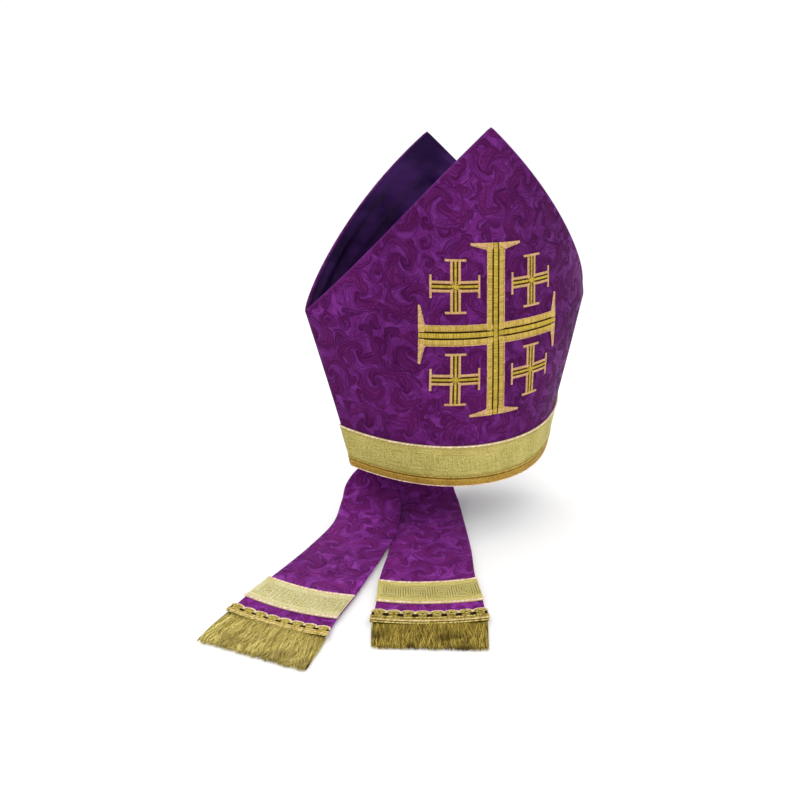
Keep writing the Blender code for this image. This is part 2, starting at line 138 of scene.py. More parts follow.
# Gentle unevenness of sewn cloth: a few long waves in seeded directions
def ripple(u, v, length, seed):
    dice = np.random.default_rng(seed)
    total = np.zeros(np.broadcast(u, v).shape)
    waves = 7
    for wave in range(waves):
        way = dice.uniform(0.0, math.pi)
        size = length * dice.uniform(0.6, 1.7)
        phase = dice.uniform(0.0, 2.0 * math.pi)
        total = total + np.sin(2.0 * math.pi * (u * math.cos(way) + v * math.sin(way)) / size + phase)
    return total / waves


# Rows and columns spread to one grid of values
def spread(rows, columns):
    return np.broadcast_arrays(rows[:, None], columns[None, :])


# Mesh helpers
def finishMesh(name, mesh, recalc=True):
    shape = bmesh.new()
    shape.from_mesh(mesh)
    if recalc:
        bmesh.ops.recalc_face_normals(shape, faces=shape.faces)
    shape.to_mesh(mesh)
    shape.free()
    mesh.shade_smooth()
    piece = bpy.data.objects.new(name, mesh)
    scene.collection.objects.link(piece)
    return piece


# Rings of points joined into a skin. Points i and N-1-i of a ring face each other through
# the wall, so the ends close with a strip. A looped skin joins its last ring to its first.
def skin(name, rings, uvs, material, looped=False):
    count, around = rings.shape[:2]
    total = count * around
    faces = []
    corners = []
    for ring in range(count if looped else count - 1):
        after = (ring + 1) % count
        for place in range(around):
            nextPlace = (place + 1) % around
            faces.append((ring * around + place, ring * around + nextPlace,
                          after * around + nextPlace, after * around + place))
            corners += [(ring, place), (ring, nextPlace), (ring + 1, nextPlace), (ring + 1, place)]
    if not looped:
        for ring in (0, count - 1):
            for place in range(around // 2 - 1):
                other = around - 1 - place
                quad = [place, place + 1, other - 1, other]
                if ring == 0:
                    quad.reverse()
                faces.append(tuple(ring * around + item for item in quad))
                corners += [(ring, item) for item in quad]
    mesh = bpy.data.meshes.new(name)
    mesh.from_pydata(rings.reshape(total, 3).tolist(), [], faces)
    layer = mesh.uv_layers.new(name="cloth")
    index = np.array(corners)
    layer.data.foreach_set("uv", uvs[index[:, 0], index[:, 1]].astype(np.float32).ravel())
    mesh.materials.append(material)
    return finishMesh(name, mesh)


# A piece's mesh on its own, to be joined with others
def takeMesh(piece):
    mesh = piece.data
    bpy.data.objects.remove(piece)
    return mesh


def readPoints(mesh):
    points = np.empty(len(mesh.vertices) * 3, np.float32)
    mesh.vertices.foreach_get("co", points)
    return points.reshape(-1, 3).astype(float)


# Bends a mesh made flat onto a surface: place takes its x, y and z
def wrapOnto(mesh, place):
    points = readPoints(mesh)
    layer = mesh.uv_layers.get("cloth") or mesh.uv_layers.new(name="cloth")
    corner = np.empty(len(mesh.loops), np.int32)
    mesh.loops.foreach_get("vertex_index", corner)
    layer.data.foreach_set("uv", points[corner][:, :2].astype(np.float32).ravel())
    bent = place(points[:, 0], points[:, 1], points[:, 2])
    mesh.vertices.foreach_set("co", bent.astype(np.float32).ravel())
    mesh.update()
    return mesh


def joinMeshes(name, meshes, recalc=True):
    pieces = []
    for mesh in meshes:
        piece = bpy.data.objects.new(name, mesh)
        scene.collection.objects.link(piece)
        pieces.append(piece)
    if len(pieces) > 1:
        with bpy.context.temp_override(active_object=pieces[0], selected_editable_objects=pieces,
                                       object=pieces[0], selected_objects=pieces):
            bpy.ops.object.join()
    mesh = takeMesh(pieces[0])
    mesh.name = name
    return finishMesh(name, mesh, recalc)


def dress(piece, slot, *nodes):
    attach(piece, "root")
    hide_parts(*nodes)
    return piece


# Node helpers: a socket is fed by another one or gets a value. Inputs go by name, or by i and number.
def feed(tree, socket, value):
    if isinstance(value, bpy.types.NodeSocket):
        tree.links.new(value, socket)
    else:
        socket.default_value = value


def addNode(tree, kind, props=None, **inputs):
    node = tree.nodes.new(kind)
    for key, value in (props or {}).items():
        setattr(node, key, value)
    for key, value in inputs.items():
        numbered = key[0] == "i" and key[1:].isdigit()
        feed(tree, node.inputs[int(key[1:]) if numbered else key], value)
    return node


def calc(tree, operation, first, second=None, third=None, clamp=False):
    inputs = {"i0": first}
    if second is not None:
        inputs["i1"] = second
    if third is not None:
        inputs["i2"] = third
    return addNode(tree, "ShaderNodeMath", {"operation": operation, "use_clamp": clamp}, **inputs).outputs[0]


def vectorCalc(tree, operation, first, second=None, output=0):
    inputs = {"i0": first}
    if second is not None:
        inputs["i1"] = second
    return addNode(tree, "ShaderNodeVectorMath", {"operation": operation}, **inputs).outputs[output]


def scaled(tree, vector, amount):
    return addNode(tree, "ShaderNodeVectorMath", {"operation": "SCALE"}, i0=vector, Scale=amount).outputs[0]


# The highest of several values
def largest(tree, *values):
    top = values[0]
    for value in values[1:]:
        top = calc(tree, "MAXIMUM", top, value)
    return top


def mixColour(tree, share, first, second):
    node = addNode(tree, "ShaderNodeMix", {"data_type": "RGBA"}, i0=share)
    for socket, colour in ((node.inputs[6], first), (node.inputs[7], second)):
        feed(tree, socket, (*colour, 1.0) if isinstance(colour, tuple) else colour)
    return node.outputs[2]


def ramp(tree, value, low, high, first=0.0, last=1.0):
    node = addNode(tree, "ShaderNodeMapRange", {"interpolation_type": "SMOOTHSTEP"})
    tree.links.new(value, node.inputs[0])
    for number, item in enumerate((low, high, first, last), start=1):
        node.inputs[number].default_value = item
    return node.outputs[0]


def noise(tree, vector, scale, detail, dims="2D", output=0, distortion=0.0):
    node = addNode(tree, "ShaderNodeTexNoise", {"noise_dimensions": dims},
                   Vector=vector, Scale=scale, Detail=detail, Distortion=distortion)
    return node.outputs[output]


def newMaterial(name, roughness, specular, gloss, metallic=0.0):
    material = bpy.data.materials.new(name)
    material.use_nodes = True
    tree = material.node_tree
    shader = tree.nodes["Principled BSDF"]
    shader.inputs["Roughness"].default_value = roughness
    shader.inputs["Metallic"].default_value = metallic
    shader.inputs["Specular IOR Level"].default_value = specular
    shader.inputs["Specular Tint"].default_value = (*gloss, 1.0)
    return material, tree, shader


def addBump(tree, shader, height, strength, distance):
    bump = addNode(tree, "ShaderNodeBump", Height=height, Strength=strength, Distance=distance)
    tree.links.new(bump.outputs[0], shader.inputs["Normal"])


def attributeValue(tree, name):
    return addNode(tree, "ShaderNodeAttribute", {"attribute_name": name}).outputs["Fac"]


def clothUv(tree):
    node = tree.nodes.new("ShaderNodeUVMap")
    node.uv_map = "cloth"
    return node.outputs[0]


# Crossing threads of a weave, 0 to 1, as a bump height
def weave(tree, uv, pitch):
    parts = addNode(tree, "ShaderNodeSeparateXYZ", i0=uv).outputs
    size = 2.0 * math.pi / pitch
    across = calc(tree, "SINE", calc(tree, "MULTIPLY", parts[0], size))
    along = calc(tree, "SINE", calc(tree, "MULTIPLY", parts[1], size))
    return calc(tree, "MULTIPLY_ADD", calc(tree, "MULTIPLY", across, along), 0.5, 0.5)


# Purple damask, with scrolls of two sizes
damask = {
    "ground": (0.093, 0.0114, 0.108),
    "light": (0.114, 0.0175, 0.142),
    "leaf": (0.086, 0.0088, 0.078),
    "line": (0.026, 0.0022, 0.023),
    "gloss": (0.55, 0.16, 0.62),
    "lineWidth": 0.0009,
    "stem": 0.22,
    "drift": 0.0140,       # how far the scrolls are pulled out of true
    "driftScale": 42.0,
    "bladeScale": 95.0,
    "threadPitch": 0.00055,
    "big": {"cell": 0.041, "arms": 2.0, "wind": 0.50, "lobes": 3.5, "reach": 0.46, "seed": 1.0},
    "small": {"cell": 0.0165, "arms": 1.0, "wind": 0.40, "lobes": 2.5, "reach": 0.44, "seed": 3.0},
}


# Thin dark line where a value passes a level: width is in the value's own units
def drawnLine(tree, value, level, width):
    away = calc(tree, "ABSOLUTE", calc(tree, "SUBTRACT", value, level))
    return calc(tree, "SUBTRACT", 1.0, calc(tree, "DIVIDE", away, width), clamp=True)


# Scrolls about scattered centres: stems wind in as spirals and carry lobed leaves
def scrollLayer(tree, uv, scroll):
    cell, reach, wind = scroll["cell"], scroll["reach"], scroll["wind"]
    armShare = scroll["arms"] / (2.0 * math.pi)
    shifted = vectorCalc(tree, "ADD", uv, (0.71 * scroll["seed"], 0.37 * scroll["seed"], 0.0))
    cells = addNode(tree, "ShaderNodeTexVoronoi", {"voronoi_dimensions": "2D", "feature": "F1"},
                    Vector=shifted, Scale=1.0 / cell, Randomness=0.55)
    away = vectorCalc(tree, "SUBTRACT", shifted, cells.outputs["Position"])
    radius = vectorCalc(tree, "LENGTH", away, output=1)
    parts = addNode(tree, "ShaderNodeSeparateXYZ", i0=away).outputs
    dice = addNode(tree, "ShaderNodeSeparateColor", i0=cells.outputs["Color"]).outputs
    handed = calc(tree, "MULTIPLY_ADD", calc(tree, "GREATER_THAN", dice[0], 0.5), 2.0, -1.0)
    angle = calc(tree, "MULTIPLY", calc(tree, "ARCTAN2", parts[1], parts[0]), handed)
    size = calc(tree, "MAXIMUM", calc(tree, "DIVIDE", radius, cell), 0.03)
    depth = calc(tree, "LOGARITHM", size, math.e)
    turn = calc(tree, "MULTIPLY_ADD", angle, armShare, calc(tree, "MULTIPLY", depth, wind))
    phase = calc(tree, "FRACT", calc(tree, "ADD", turn, dice[1]))
    off = calc(tree, "MULTIPLY", calc(tree, "ABSOLUTE", calc(tree, "SUBTRACT", phase, 0.5)), 2.0)
    wave = calc(tree, "MULTIPLY_ADD", angle, scroll["lobes"], calc(tree, "MULTIPLY", depth, 5.0))
    lobe = calc(tree, "ABSOLUTE", calc(tree, "SINE", wave))
    gap = calc(tree, "SUBTRACT", off, calc(tree, "MULTIPLY_ADD", lobe, 0.34, damask["stem"]))
    # the lines keep their width in metres, whatever the spiral's own spacing
    pace = 2.0 * math.hypot(wind, armShare)
    width = calc(tree, "DIVIDE", damask["lineWidth"] * pace, calc(tree, "MAXIMUM", radius, 0.0022))
    thin = calc(tree, "MULTIPLY", width, 0.8)
    outline = drawnLine(tree, gap, 0.0, width)
    veins = largest(tree, drawnLine(tree, off, 0.0, thin), drawnLine(tree, gap, -0.22, thin),
                    drawnLine(tree, gap, 0.20, thin))
    # rings round the scroll, broken here and there: how far in, and how wide
    broken = ramp(tree, noise(tree, shifted, 1.3 / cell, 1.0), 0.38, 0.50)
    rings = [drawnLine(tree, size, reach - inward, damask["lineWidth"] * wide / cell)
             for inward, wide in ((0.0, 1.2), (0.07, 0.9), (0.15, 0.8))]
    rim = calc(tree, "MULTIPLY", rings[0], broken)
    inner = calc(tree, "MULTIPLY", largest(tree, *rings[1:]), broken)
    leaf = ramp(tree, gap, 0.16, -0.14)
    inside = ramp(tree, size, reach + 0.05, reach - 0.02)
    faint = calc(tree, "MULTIPLY", largest(tree, veins, inner), 0.75)
    line = calc(tree, "MULTIPLY", largest(tree, outline, faint), inside)
    return largest(tree, line, rim), calc(tree, "MULTIPLY", leaf, inside), inside


def makeDamask(name, brighten, specular):
    material, tree, shader = newMaterial(name, 0.5, specular, damask["gloss"])
    uv = clothUv(tree)
    drift = noise(tree, uv, damask["driftScale"], 2.0, output="Color")
    centred = vectorCalc(tree, "SUBTRACT", drift, (0.5, 0.5, 0.5))
    bent = vectorCalc(tree, "ADD", uv, scaled(tree, centred, damask["drift"]))
    bigLine, bigLeaf, bigInside = scrollLayer(tree, bent, damask["big"])
    smallLine, smallLeaf = scrollLayer(tree, bent, damask["small"])[:2]
    # tendrils and leaf blades between the scrolls, cut from one warped field
    field = noise(tree, bent, damask["bladeScale"], 1.5, distortion=0.5)
    blades = largest(tree, drawnLine(tree, field, 0.44, 0.030), drawnLine(tree, field, 0.56, 0.028))
    outside = calc(tree, "SUBTRACT", 1.0, calc(tree, "MULTIPLY", bigInside, 0.8))
    line = largest(tree, bigLine, calc(tree, "MULTIPLY", smallLine, outside),
                   calc(tree, "MULTIPLY", blades, 0.62))
    leaf = largest(tree, bigLeaf, calc(tree, "MULTIPLY", smallLeaf, outside))
    patches = ramp(tree, field, 0.44, 0.66)
    colour = mixColour(tree, patches, damask["ground"], damask["light"])
    colour = mixColour(tree, calc(tree, "MULTIPLY", leaf, 0.80), colour, damask["leaf"])
    colour = mixColour(tree, calc(tree, "MULTIPLY", line, 0.88), colour, damask["line"])
    # painted highlight: the damask turns lighter along the horn's rolled edge
    edgeHighlight = attributeValue(tree, "edgeHighlight")
    colour = mixColour(tree, calc(tree, "MULTIPLY", edgeHighlight, 0.6), colour, damask["light"])
    # broad blotches and the weave's grain
    threads = weave(tree, uv, damask["threadPitch"])
    blotch = ramp(tree, noise(tree, uv, 9.0, 2.0), 0.3, 0.7, 0.86, 1.12)
    grain = calc(tree, "MULTIPLY_ADD", threads, 0.14, 0.93)
    tone = calc(tree, "MULTIPLY", calc(tree, "MULTIPLY", blotch, grain), brighten)
    tree.links.new(scaled(tree, colour, tone), shader.inputs["Base Color"])
    rough = calc(tree, "MULTIPLY_ADD", leaf, 0.14, 0.44)
    tree.links.new(calc(tree, "MULTIPLY_ADD", line, 0.10, rough), shader.inputs["Roughness"])
    relief = calc(tree, "ADD", calc(tree, "MULTIPLY", leaf, 0.7),
                  calc(tree, "MULTIPLY_ADD", threads, 0.16, calc(tree, "MULTIPLY", line, -0.9)))
    addBump(tree, shader, relief, 0.9, 0.00045)
    return material


# Dark satin. Its deep and lit colours are painted shade and painted sheen, mixed in long clouds.
satin = {
    "deep": (0.0110, 0.0030, 0.0250),
    "lit": (0.0360, 0.0095, 0.0720),
    "gloss": (0.42, 0.18, 0.85),
    "threadPitch": 0.0004,
}


def makeSatin():
    material, tree, shader = newMaterial("liningSatin", 0.34, 0.22, satin["gloss"])
    uv = clothUv(tree)
    stretched = vectorCalc(tree, "MULTIPLY", uv, (1.0, 2.0, 1.0))
    # painted sheen and shade: patches of lit and deep colour
    sheenCloud = ramp(tree, noise(tree, stretched, 14.0, 3.0), 0.35, 0.70)
    colour = mixColour(tree, sheenCloud, satin["deep"], satin["lit"])
    tree.links.new(colour, shader.inputs["Base Color"])
    threads = weave(tree, uv, satin["threadPitch"])
    crease = noise(tree, stretched, 60.0, 2.0)
    addBump(tree, shader, calc(tree, "MULTIPLY_ADD", threads, 0.12, crease), 0.35, 0.0006)
    rough = calc(tree, "MULTIPLY_ADD", sheenCloud, 0.12, 0.32)
    tree.links.new(rough, shader.inputs["Roughness"])
    return material


# Gold trimmings
gold = {
    "galloon": (0.560, 0.490, 0.165),
    "galloonDark": (0.300, 0.245, 0.055),
    "galloonLitPale": (0.780, 0.730, 0.460),
    "galloonBright": (0.760, 0.670, 0.250),
    "galloonMid": (0.500, 0.430, 0.120),
    "faintKey": (0.620, 0.545, 0.190),
    "key": (0.800, 0.720, 0.340),
    "keyEdge": (0.215, 0.165, 0.030),
    "selvedge": (0.930, 0.760, 0.620),
    "selvedgeDark": (0.660, 0.460, 0.300),
    "edging": (0.450, 0.295, 0.058),
    "edgingDark": (0.240, 0.125, 0.018),
    "peach": (0.690, 0.450, 0.245),
    "thread": (0.450, 0.300, 0.058),
    "threadLit": (0.760, 0.565, 0.160),
    "contour": (0.770, 0.520, 0.285),
    "contourDark": (0.520, 0.300, 0.110),
    "olive": (0.680, 0.520, 0.090),
    "oliveDark": (0.400, 0.270, 0.035),
    "braid": (0.800, 0.650, 0.340),
    "braidDark": (0.520, 0.370, 0.120),
    "backing": (0.050, 0.022, 0.006),
    "backingDark": (0.020, 0.009, 0.003),
    "shadow": (0.200, 0.105, 0.025),
    "cord": (0.560, 0.430, 0.115),
    "fringe": (0.880, 0.700, 0.160),
    "fringeShade": (0.150, 0.100, 0.014),
    "fringeDark": (0.085, 0.048, 0.008),
    "fringeLit": (1.000, 0.880, 0.330),
    "fringeWarm": (0.400, 0.300, 0.055),
    "fringeBrown": (0.200, 0.130, 0.020),
}


# Woven metal thread: fine crossing threads over two tones, with a little glitter
def makeWoven(name, light, dark, pitch=0.0008, roughness=0.42, metallic=0.25, contrast=1.0):
    material, tree, shader = newMaterial(name, roughness, 0.25, light, metallic)
    uv = clothUv(tree)
    threads = weave(tree, uv, pitch)
    speck = noise(tree, uv, 1.0 / (pitch * 1.7), 1.0)
    broad = noise(tree, uv, 60.0, 2.0)
    crossing = calc(tree, "MULTIPLY", threads, 0.35 * contrast)
    share = calc(tree, "MULTIPLY_ADD", speck, 1.1 * contrast, crossing)
    share = calc(tree, "ADD", share, calc(tree, "MULTIPLY", broad, 0.5))
    colour = mixColour(tree, ramp(tree, share, 0.55, 1.35), dark, light)
    tree.links.new(colour, shader.inputs["Base Color"])
    rough = ramp(tree, speck, 0.3, 0.7, roughness + 0.16, roughness - 0.08)
    tree.links.new(rough, shader.inputs["Roughness"])
    addBump(tree, shader, calc(tree, "ADD", threads, calc(tree, "MULTIPLY", speck, 0.8)), 0.6, 0.00018)
    return material


# Thread with a tint per stitch or strand. Where asked, patches of its far end turn to another colour, and the
# strands darken near their roots with painted shade under the header.
def makeThread(name, light, dark, roughness, metallic, ends=None, endShare=0.0):
    material, tree, shader = newMaterial(name, roughness, 0.2, light, metallic)
    colour = mixColour(tree, attributeValue(tree, "tint"), dark, light)
    place = tree.nodes.new("ShaderNodeTexCoord").outputs["Object"]
    speck = noise(tree, place, 1400.0, 1.0, "3D")
    if ends:
        down = attributeValue(tree, "down")
        patch = noise(tree, place, 48.0, 2.0, "3D")
        share = calc(tree, "MULTIPLY", ramp(tree, down, 0.25, 0.85), ramp(tree, patch, 0.42, 0.60))
        # painted shade: strands darken near their roots, under the header
        root = calc(tree, "MULTIPLY", ramp(tree, down, 0.19, 0.07), 0.8)
        share = calc(tree, "MULTIPLY", calc(tree, "MAXIMUM", share, root), endShare)
        colour = mixColour(tree, share, colour, ends)
    glitter = ramp(tree, speck, 0.3, 0.7, 0.72, 1.25)
    tree.links.new(scaled(tree, colour, glitter), shader.inputs["Base Color"])
    addBump(tree, shader, speck, 0.3, 0.00008)
    return material


mats = {
    "damask": makeDamask("purpleDamask", 1.15, 0.03),
    # the lappets' copy of the damask is painted lighter, 2.45 against 1.15: painted light on the cloth lying
    # face up
    "litLappetDamask": makeDamask("litLappetDamask", 2.45, 0.02),
    "satin": makeSatin(),
    "galloon": makeWoven("galloonWeave", gold["galloon"], gold["galloonDark"]),
    "faintKey": makeWoven("galloonFaintKey", gold["faintKey"], gold["galloonDark"]),
    "galloonRight": makeWoven("galloonBrightWeave", gold["galloonBright"], gold["galloonMid"]),
    # the left lappet's band is the same galloon painted paler: painted light on that lappet
    "galloonLeft": makeWoven("galloonLitPaleWeave", gold["galloonLitPale"], gold["galloon"]),
    "key": makeWoven("galloonKey", gold["key"], gold["galloon"], 0.0006, contrast=0.8),
    "keyEdge": makeWoven("galloonKeyEdge", gold["galloonDark"], gold["keyEdge"]),
    "edging": makeWoven("edgingTwill", gold["edging"], gold["edgingDark"], 0.0009, 0.40, 0.35),
    "selvedge": makeThread("selvedgeThread", gold["selvedge"], gold["selvedgeDark"], 0.5, 0.0),
    "peach": makeThread("peachThread", gold["peach"], gold["contourDark"], 0.42, 0.15),
    "thread": makeThread("goldThread", gold["threadLit"], gold["thread"], 0.36, 0.5),
    "contour": makeThread("contourThread", gold["contour"], gold["contourDark"], 0.42, 0.15),
    "olive": makeThread("oliveThread", gold["olive"], gold["oliveDark"], 0.38, 0.35),
    "braid": makeThread("paleBraid", gold["braid"], gold["braidDark"], 0.42, 0.2),
    "backing": makeThread("brownBacking", gold["backing"], gold["backingDark"], 0.7, 0.0),
    # brown for the small crosses' ground and for the painted shadow line along the rim's edging
    "shadow": makeThread("brownGroundAndShadowLine", gold["shadow"], gold["backing"], 0.6, 0.0),
    "cord": makeThread("braidCord", gold["cord"], gold["thread"], 0.40, 0.4),
    # the right fringe is the left one's gold painted darker: painted shade over that fringe
    "fringeRight": makeThread("fringeShadedGold", gold["fringe"], gold["fringeShade"], 0.34, 0.5,
                              gold["fringeDark"], 0.80),
    "fringeLeft": makeThread("fringeGold", gold["fringeLit"], gold["fringeWarm"], 0.34, 0.5,
                             gold["fringeBrown"], 0.42),
}
print("materials made:", len(mats))


# Geometry node trees
def newTree(name, sockets):
    tree = bpy.data.node_groups.new(name, "GeometryNodeTree")
    tree.interface.new_socket("Geometry", in_out="INPUT", socket_type="NodeSocketGeometry")
    for label, kind, value in sockets:
        socket = tree.interface.new_socket(label, in_out="INPUT", socket_type="NodeSocket" + kind)
        if value is not None:
            socket.default_value = value
    tree.interface.new_socket("Geometry", in_out="OUTPUT", socket_type="NodeSocketGeometry")
    return tree, tree.nodes.new("NodeGroupInput").outputs


def endTree(tree, geometry, material):
    real = addNode(tree, "GeometryNodeRealizeInstances", i0=geometry)
    shaded = addNode(tree, "GeometryNodeSetShadeSmooth", Geometry=real.outputs[0])
    painted = addNode(tree, "GeometryNodeSetMaterial", Geometry=shaded.outputs[0], Material=material)
    finish = tree.nodes.new("NodeGroupOutput")
    tree.links.new(painted.outputs[0], finish.inputs[0])


# Runs a tree on a base mesh, and gives the plain mesh that comes out
def runTree(tree, base, settings):
    holder = bpy.data.objects.new("holder", base)
    scene.collection.objects.link(holder)
    modifier = holder.modifiers.new("nodes", "NODES")
    modifier.node_group = tree
    known = {item.name: item.identifier for item in tree.interface.items_tree
             if item.item_type == "SOCKET" and item.in_out == "INPUT"}
    for label, value in settings.items():
        modifier[known[label]] = value
    bpy.context.view_layer.update()
    depsgraph = bpy.context.evaluated_depsgraph_get()
    mesh = bpy.data.meshes.new_from_object(holder.evaluated_get(depsgraph), depsgraph=depsgraph)
    bpy.data.objects.remove(holder)
    return mesh


# An open line of points for the trees, with a half-width at each point
def lineMesh(points, halves=None):
    mesh = bpy.data.meshes.new("line")
    mesh.from_pydata([(x, y, 0.0) for x, y in points],
                     [(number, number + 1) for number in range(len(points) - 1)], [])
    layer = mesh.attributes.new("halfWidth", "FLOAT", "POINT")
    layer.data.foreach_set("value", halves or [1.0] * len(points))
    return mesh


def randomFloat(tree, low, high, seed):
    dice = addNode(tree, "FunctionNodeRandomValue", {"data_type": "FLOAT"}, i2=low, i3=high, Seed=seed)
    return dice.outputs[1]


# Keeps a value on the points, for the material to read
def storeFloat(tree, geometry, name, value):
    return addNode(tree, "GeometryNodeStoreNamedAttribute", {"data_type": "FLOAT", "domain": "POINT"},
                   Geometry=geometry, Name=name, Value=value).outputs[0]


def storeTint(tree, geometry, seed):
    return storeFloat(tree, geometry, "tint", randomFloat(tree, 0.0, 1.0, seed))


def combine(tree, x, y, z):
    return addNode(tree, "ShaderNodeCombineXYZ", i0=x, i1=y, i2=z).outputs[0]


def alongRotation(tree, tangent, turn):
    aligned = addNode(tree, "FunctionNodeAlignRotationToVector", {"axis": "X", "pivot_axis": "Z"},
                      Vector=tangent)
    spin = addNode(tree, "FunctionNodeEulerToRotation", i0=combine(tree, 0.0, 0.0, turn))
    rotated = addNode(tree, "FunctionNodeRotateRotation", {"rotation_space": "LOCAL"},
                      i0=aligned.outputs[0], i1=spin.outputs[0])
    return rotated.outputs[0]


# The base line, repeated along x and joined end to end
def repeatLine(tree, inputs):
    offset = combine(tree, inputs["Pitch"], 0.0, 0.0)
    row = addNode(tree, "GeometryNodeMeshLine", {"mode": "OFFSET"}, Count=inputs["Count"], Offset=offset)
    copies = addNode(tree, "GeometryNodeInstanceOnPoints", Points=row.outputs[0],
                     Instance=inputs["Geometry"])
    real = addNode(tree, "GeometryNodeRealizeInstances", i0=copies.outputs[0])
    joined = addNode(tree, "GeometryNodeMergeByDistance", Geometry=real.outputs[0], Distance=0.00002)
    return addNode(tree, "GeometryNodeMeshToCurve", Mesh=joined.outputs[0]).outputs[0]


# Twisted cord: slanted plies one after another along the line
def makeCordTree():
    tree, inputs = newTree("twistedCord", (
        ("Count", "Int", 1), ("Pitch", "Float", 0.01), ("Spacing", "Float", 0.0008),
        ("Thickness", "Float", 0.001), ("Stretch", "Float", 1.5), ("Slant", "Float", 0.6),
        ("Seed", "Int", 1), ("Material", "Material", None)))
    curve = repeatLine(tree, inputs)
    dots = addNode(tree, "GeometryNodeCurveToPoints", {"mode": "LENGTH"}, Curve=curve,
                   Length=inputs["Spacing"])
    tinted = storeTint(tree, dots.outputs["Points"], inputs["Seed"])
    ply = addNode(tree, "GeometryNodeMeshIcoSphere", Radius=0.5, Subdivisions=1)
    uneven = randomFloat(tree, 0.9, 1.1, inputs["Seed"])
    thick = calc(tree, "MULTIPLY", inputs["Thickness"], uneven)
    scale = combine(tree, calc(tree, "MULTIPLY", thick, inputs["Stretch"]),
                    calc(tree, "MULTIPLY", thick, 0.72), thick)
    turn = alongRotation(tree, dots.outputs["Tangent"], inputs["Slant"])
    plies = addNode(tree, "GeometryNodeInstanceOnPoints", Points=tinted, Instance=ply.outputs[0],
                    Rotation=turn, Scale=scale)
    endTree(tree, plies.outputs[0], inputs["Material"])
    return tree


# Satin stitches: arched threads laid side by side across the line, as wide as it is there
def makeSatinTree(threadObject):
    tree, inputs = newTree("satinStitch", (
        ("Spacing", "Float", 0.0005), ("Lift", "Float", 0.001), ("Lean", "Float", 0.0),
        ("Uneven", "Float", 0.08), ("Seed", "Int", 1), ("Material", "Material", None)))
    curve = addNode(tree, "GeometryNodeMeshToCurve", Mesh=inputs["Geometry"])
    dots = addNode(tree, "GeometryNodeCurveToPoints", {"mode": "LENGTH"}, Curve=curve.outputs[0],
                   Length=inputs["Spacing"])
    tinted = storeTint(tree, dots.outputs["Points"], inputs["Seed"])
    thread = addNode(tree, "GeometryNodeObjectInfo", Object=threadObject)
    half = addNode(tree, "GeometryNodeInputNamedAttribute", {"data_type": "FLOAT"}, Name="halfWidth")
    low = calc(tree, "SUBTRACT", 1.0, inputs["Uneven"])
    high = calc(tree, "ADD", 1.0, inputs["Uneven"])
    lift = calc(tree, "MULTIPLY", inputs["Lift"], randomFloat(tree, low, high, inputs["Seed"]))
    scale = combine(tree, inputs["Spacing"], half.outputs[0], lift)
    turn = calc(tree, "ADD", inputs["Lean"], randomFloat(tree, -0.05, 0.05, inputs["Seed"]))
    threads = addNode(tree, "GeometryNodeInstanceOnPoints", Points=tinted,
                      Instance=thread.outputs["Geometry"],
                      Rotation=alongRotation(tree, dots.outputs["Tangent"], turn), Scale=scale)
    endTree(tree, threads.outputs[0], inputs["Material"])
    return tree


# Raised woven line that repeats along x: the Greek key
def makeKeyTree():
    tree, inputs = newTree("wovenKey", (
        ("Count", "Int", 4), ("Pitch", "Float", 0.02), ("Width", "Float", 0.0015),
        ("Height", "Float", 0.0003), ("Material", "Material", None)))
    curve = repeatLine(tree, inputs)
    fine = addNode(tree, "GeometryNodeSubdivideCurve", Curve=curve, Cuts=5)
    normal = addNode(tree, "GeometryNodeSetCurveNormal", Curve=fine.outputs[0])
    profile = addNode(tree, "GeometryNodeCurvePrimitiveQuadrilateral", Width=inputs["Width"],
                      Height=inputs["Height"])
    ribbon = addNode(tree, "GeometryNodeCurveToMesh", Curve=normal.outputs[0],
                     **{"Profile Curve": profile.outputs[0], "Fill Caps": True})
    endTree(tree, ribbon.outputs[0], inputs["Material"])
    return tree


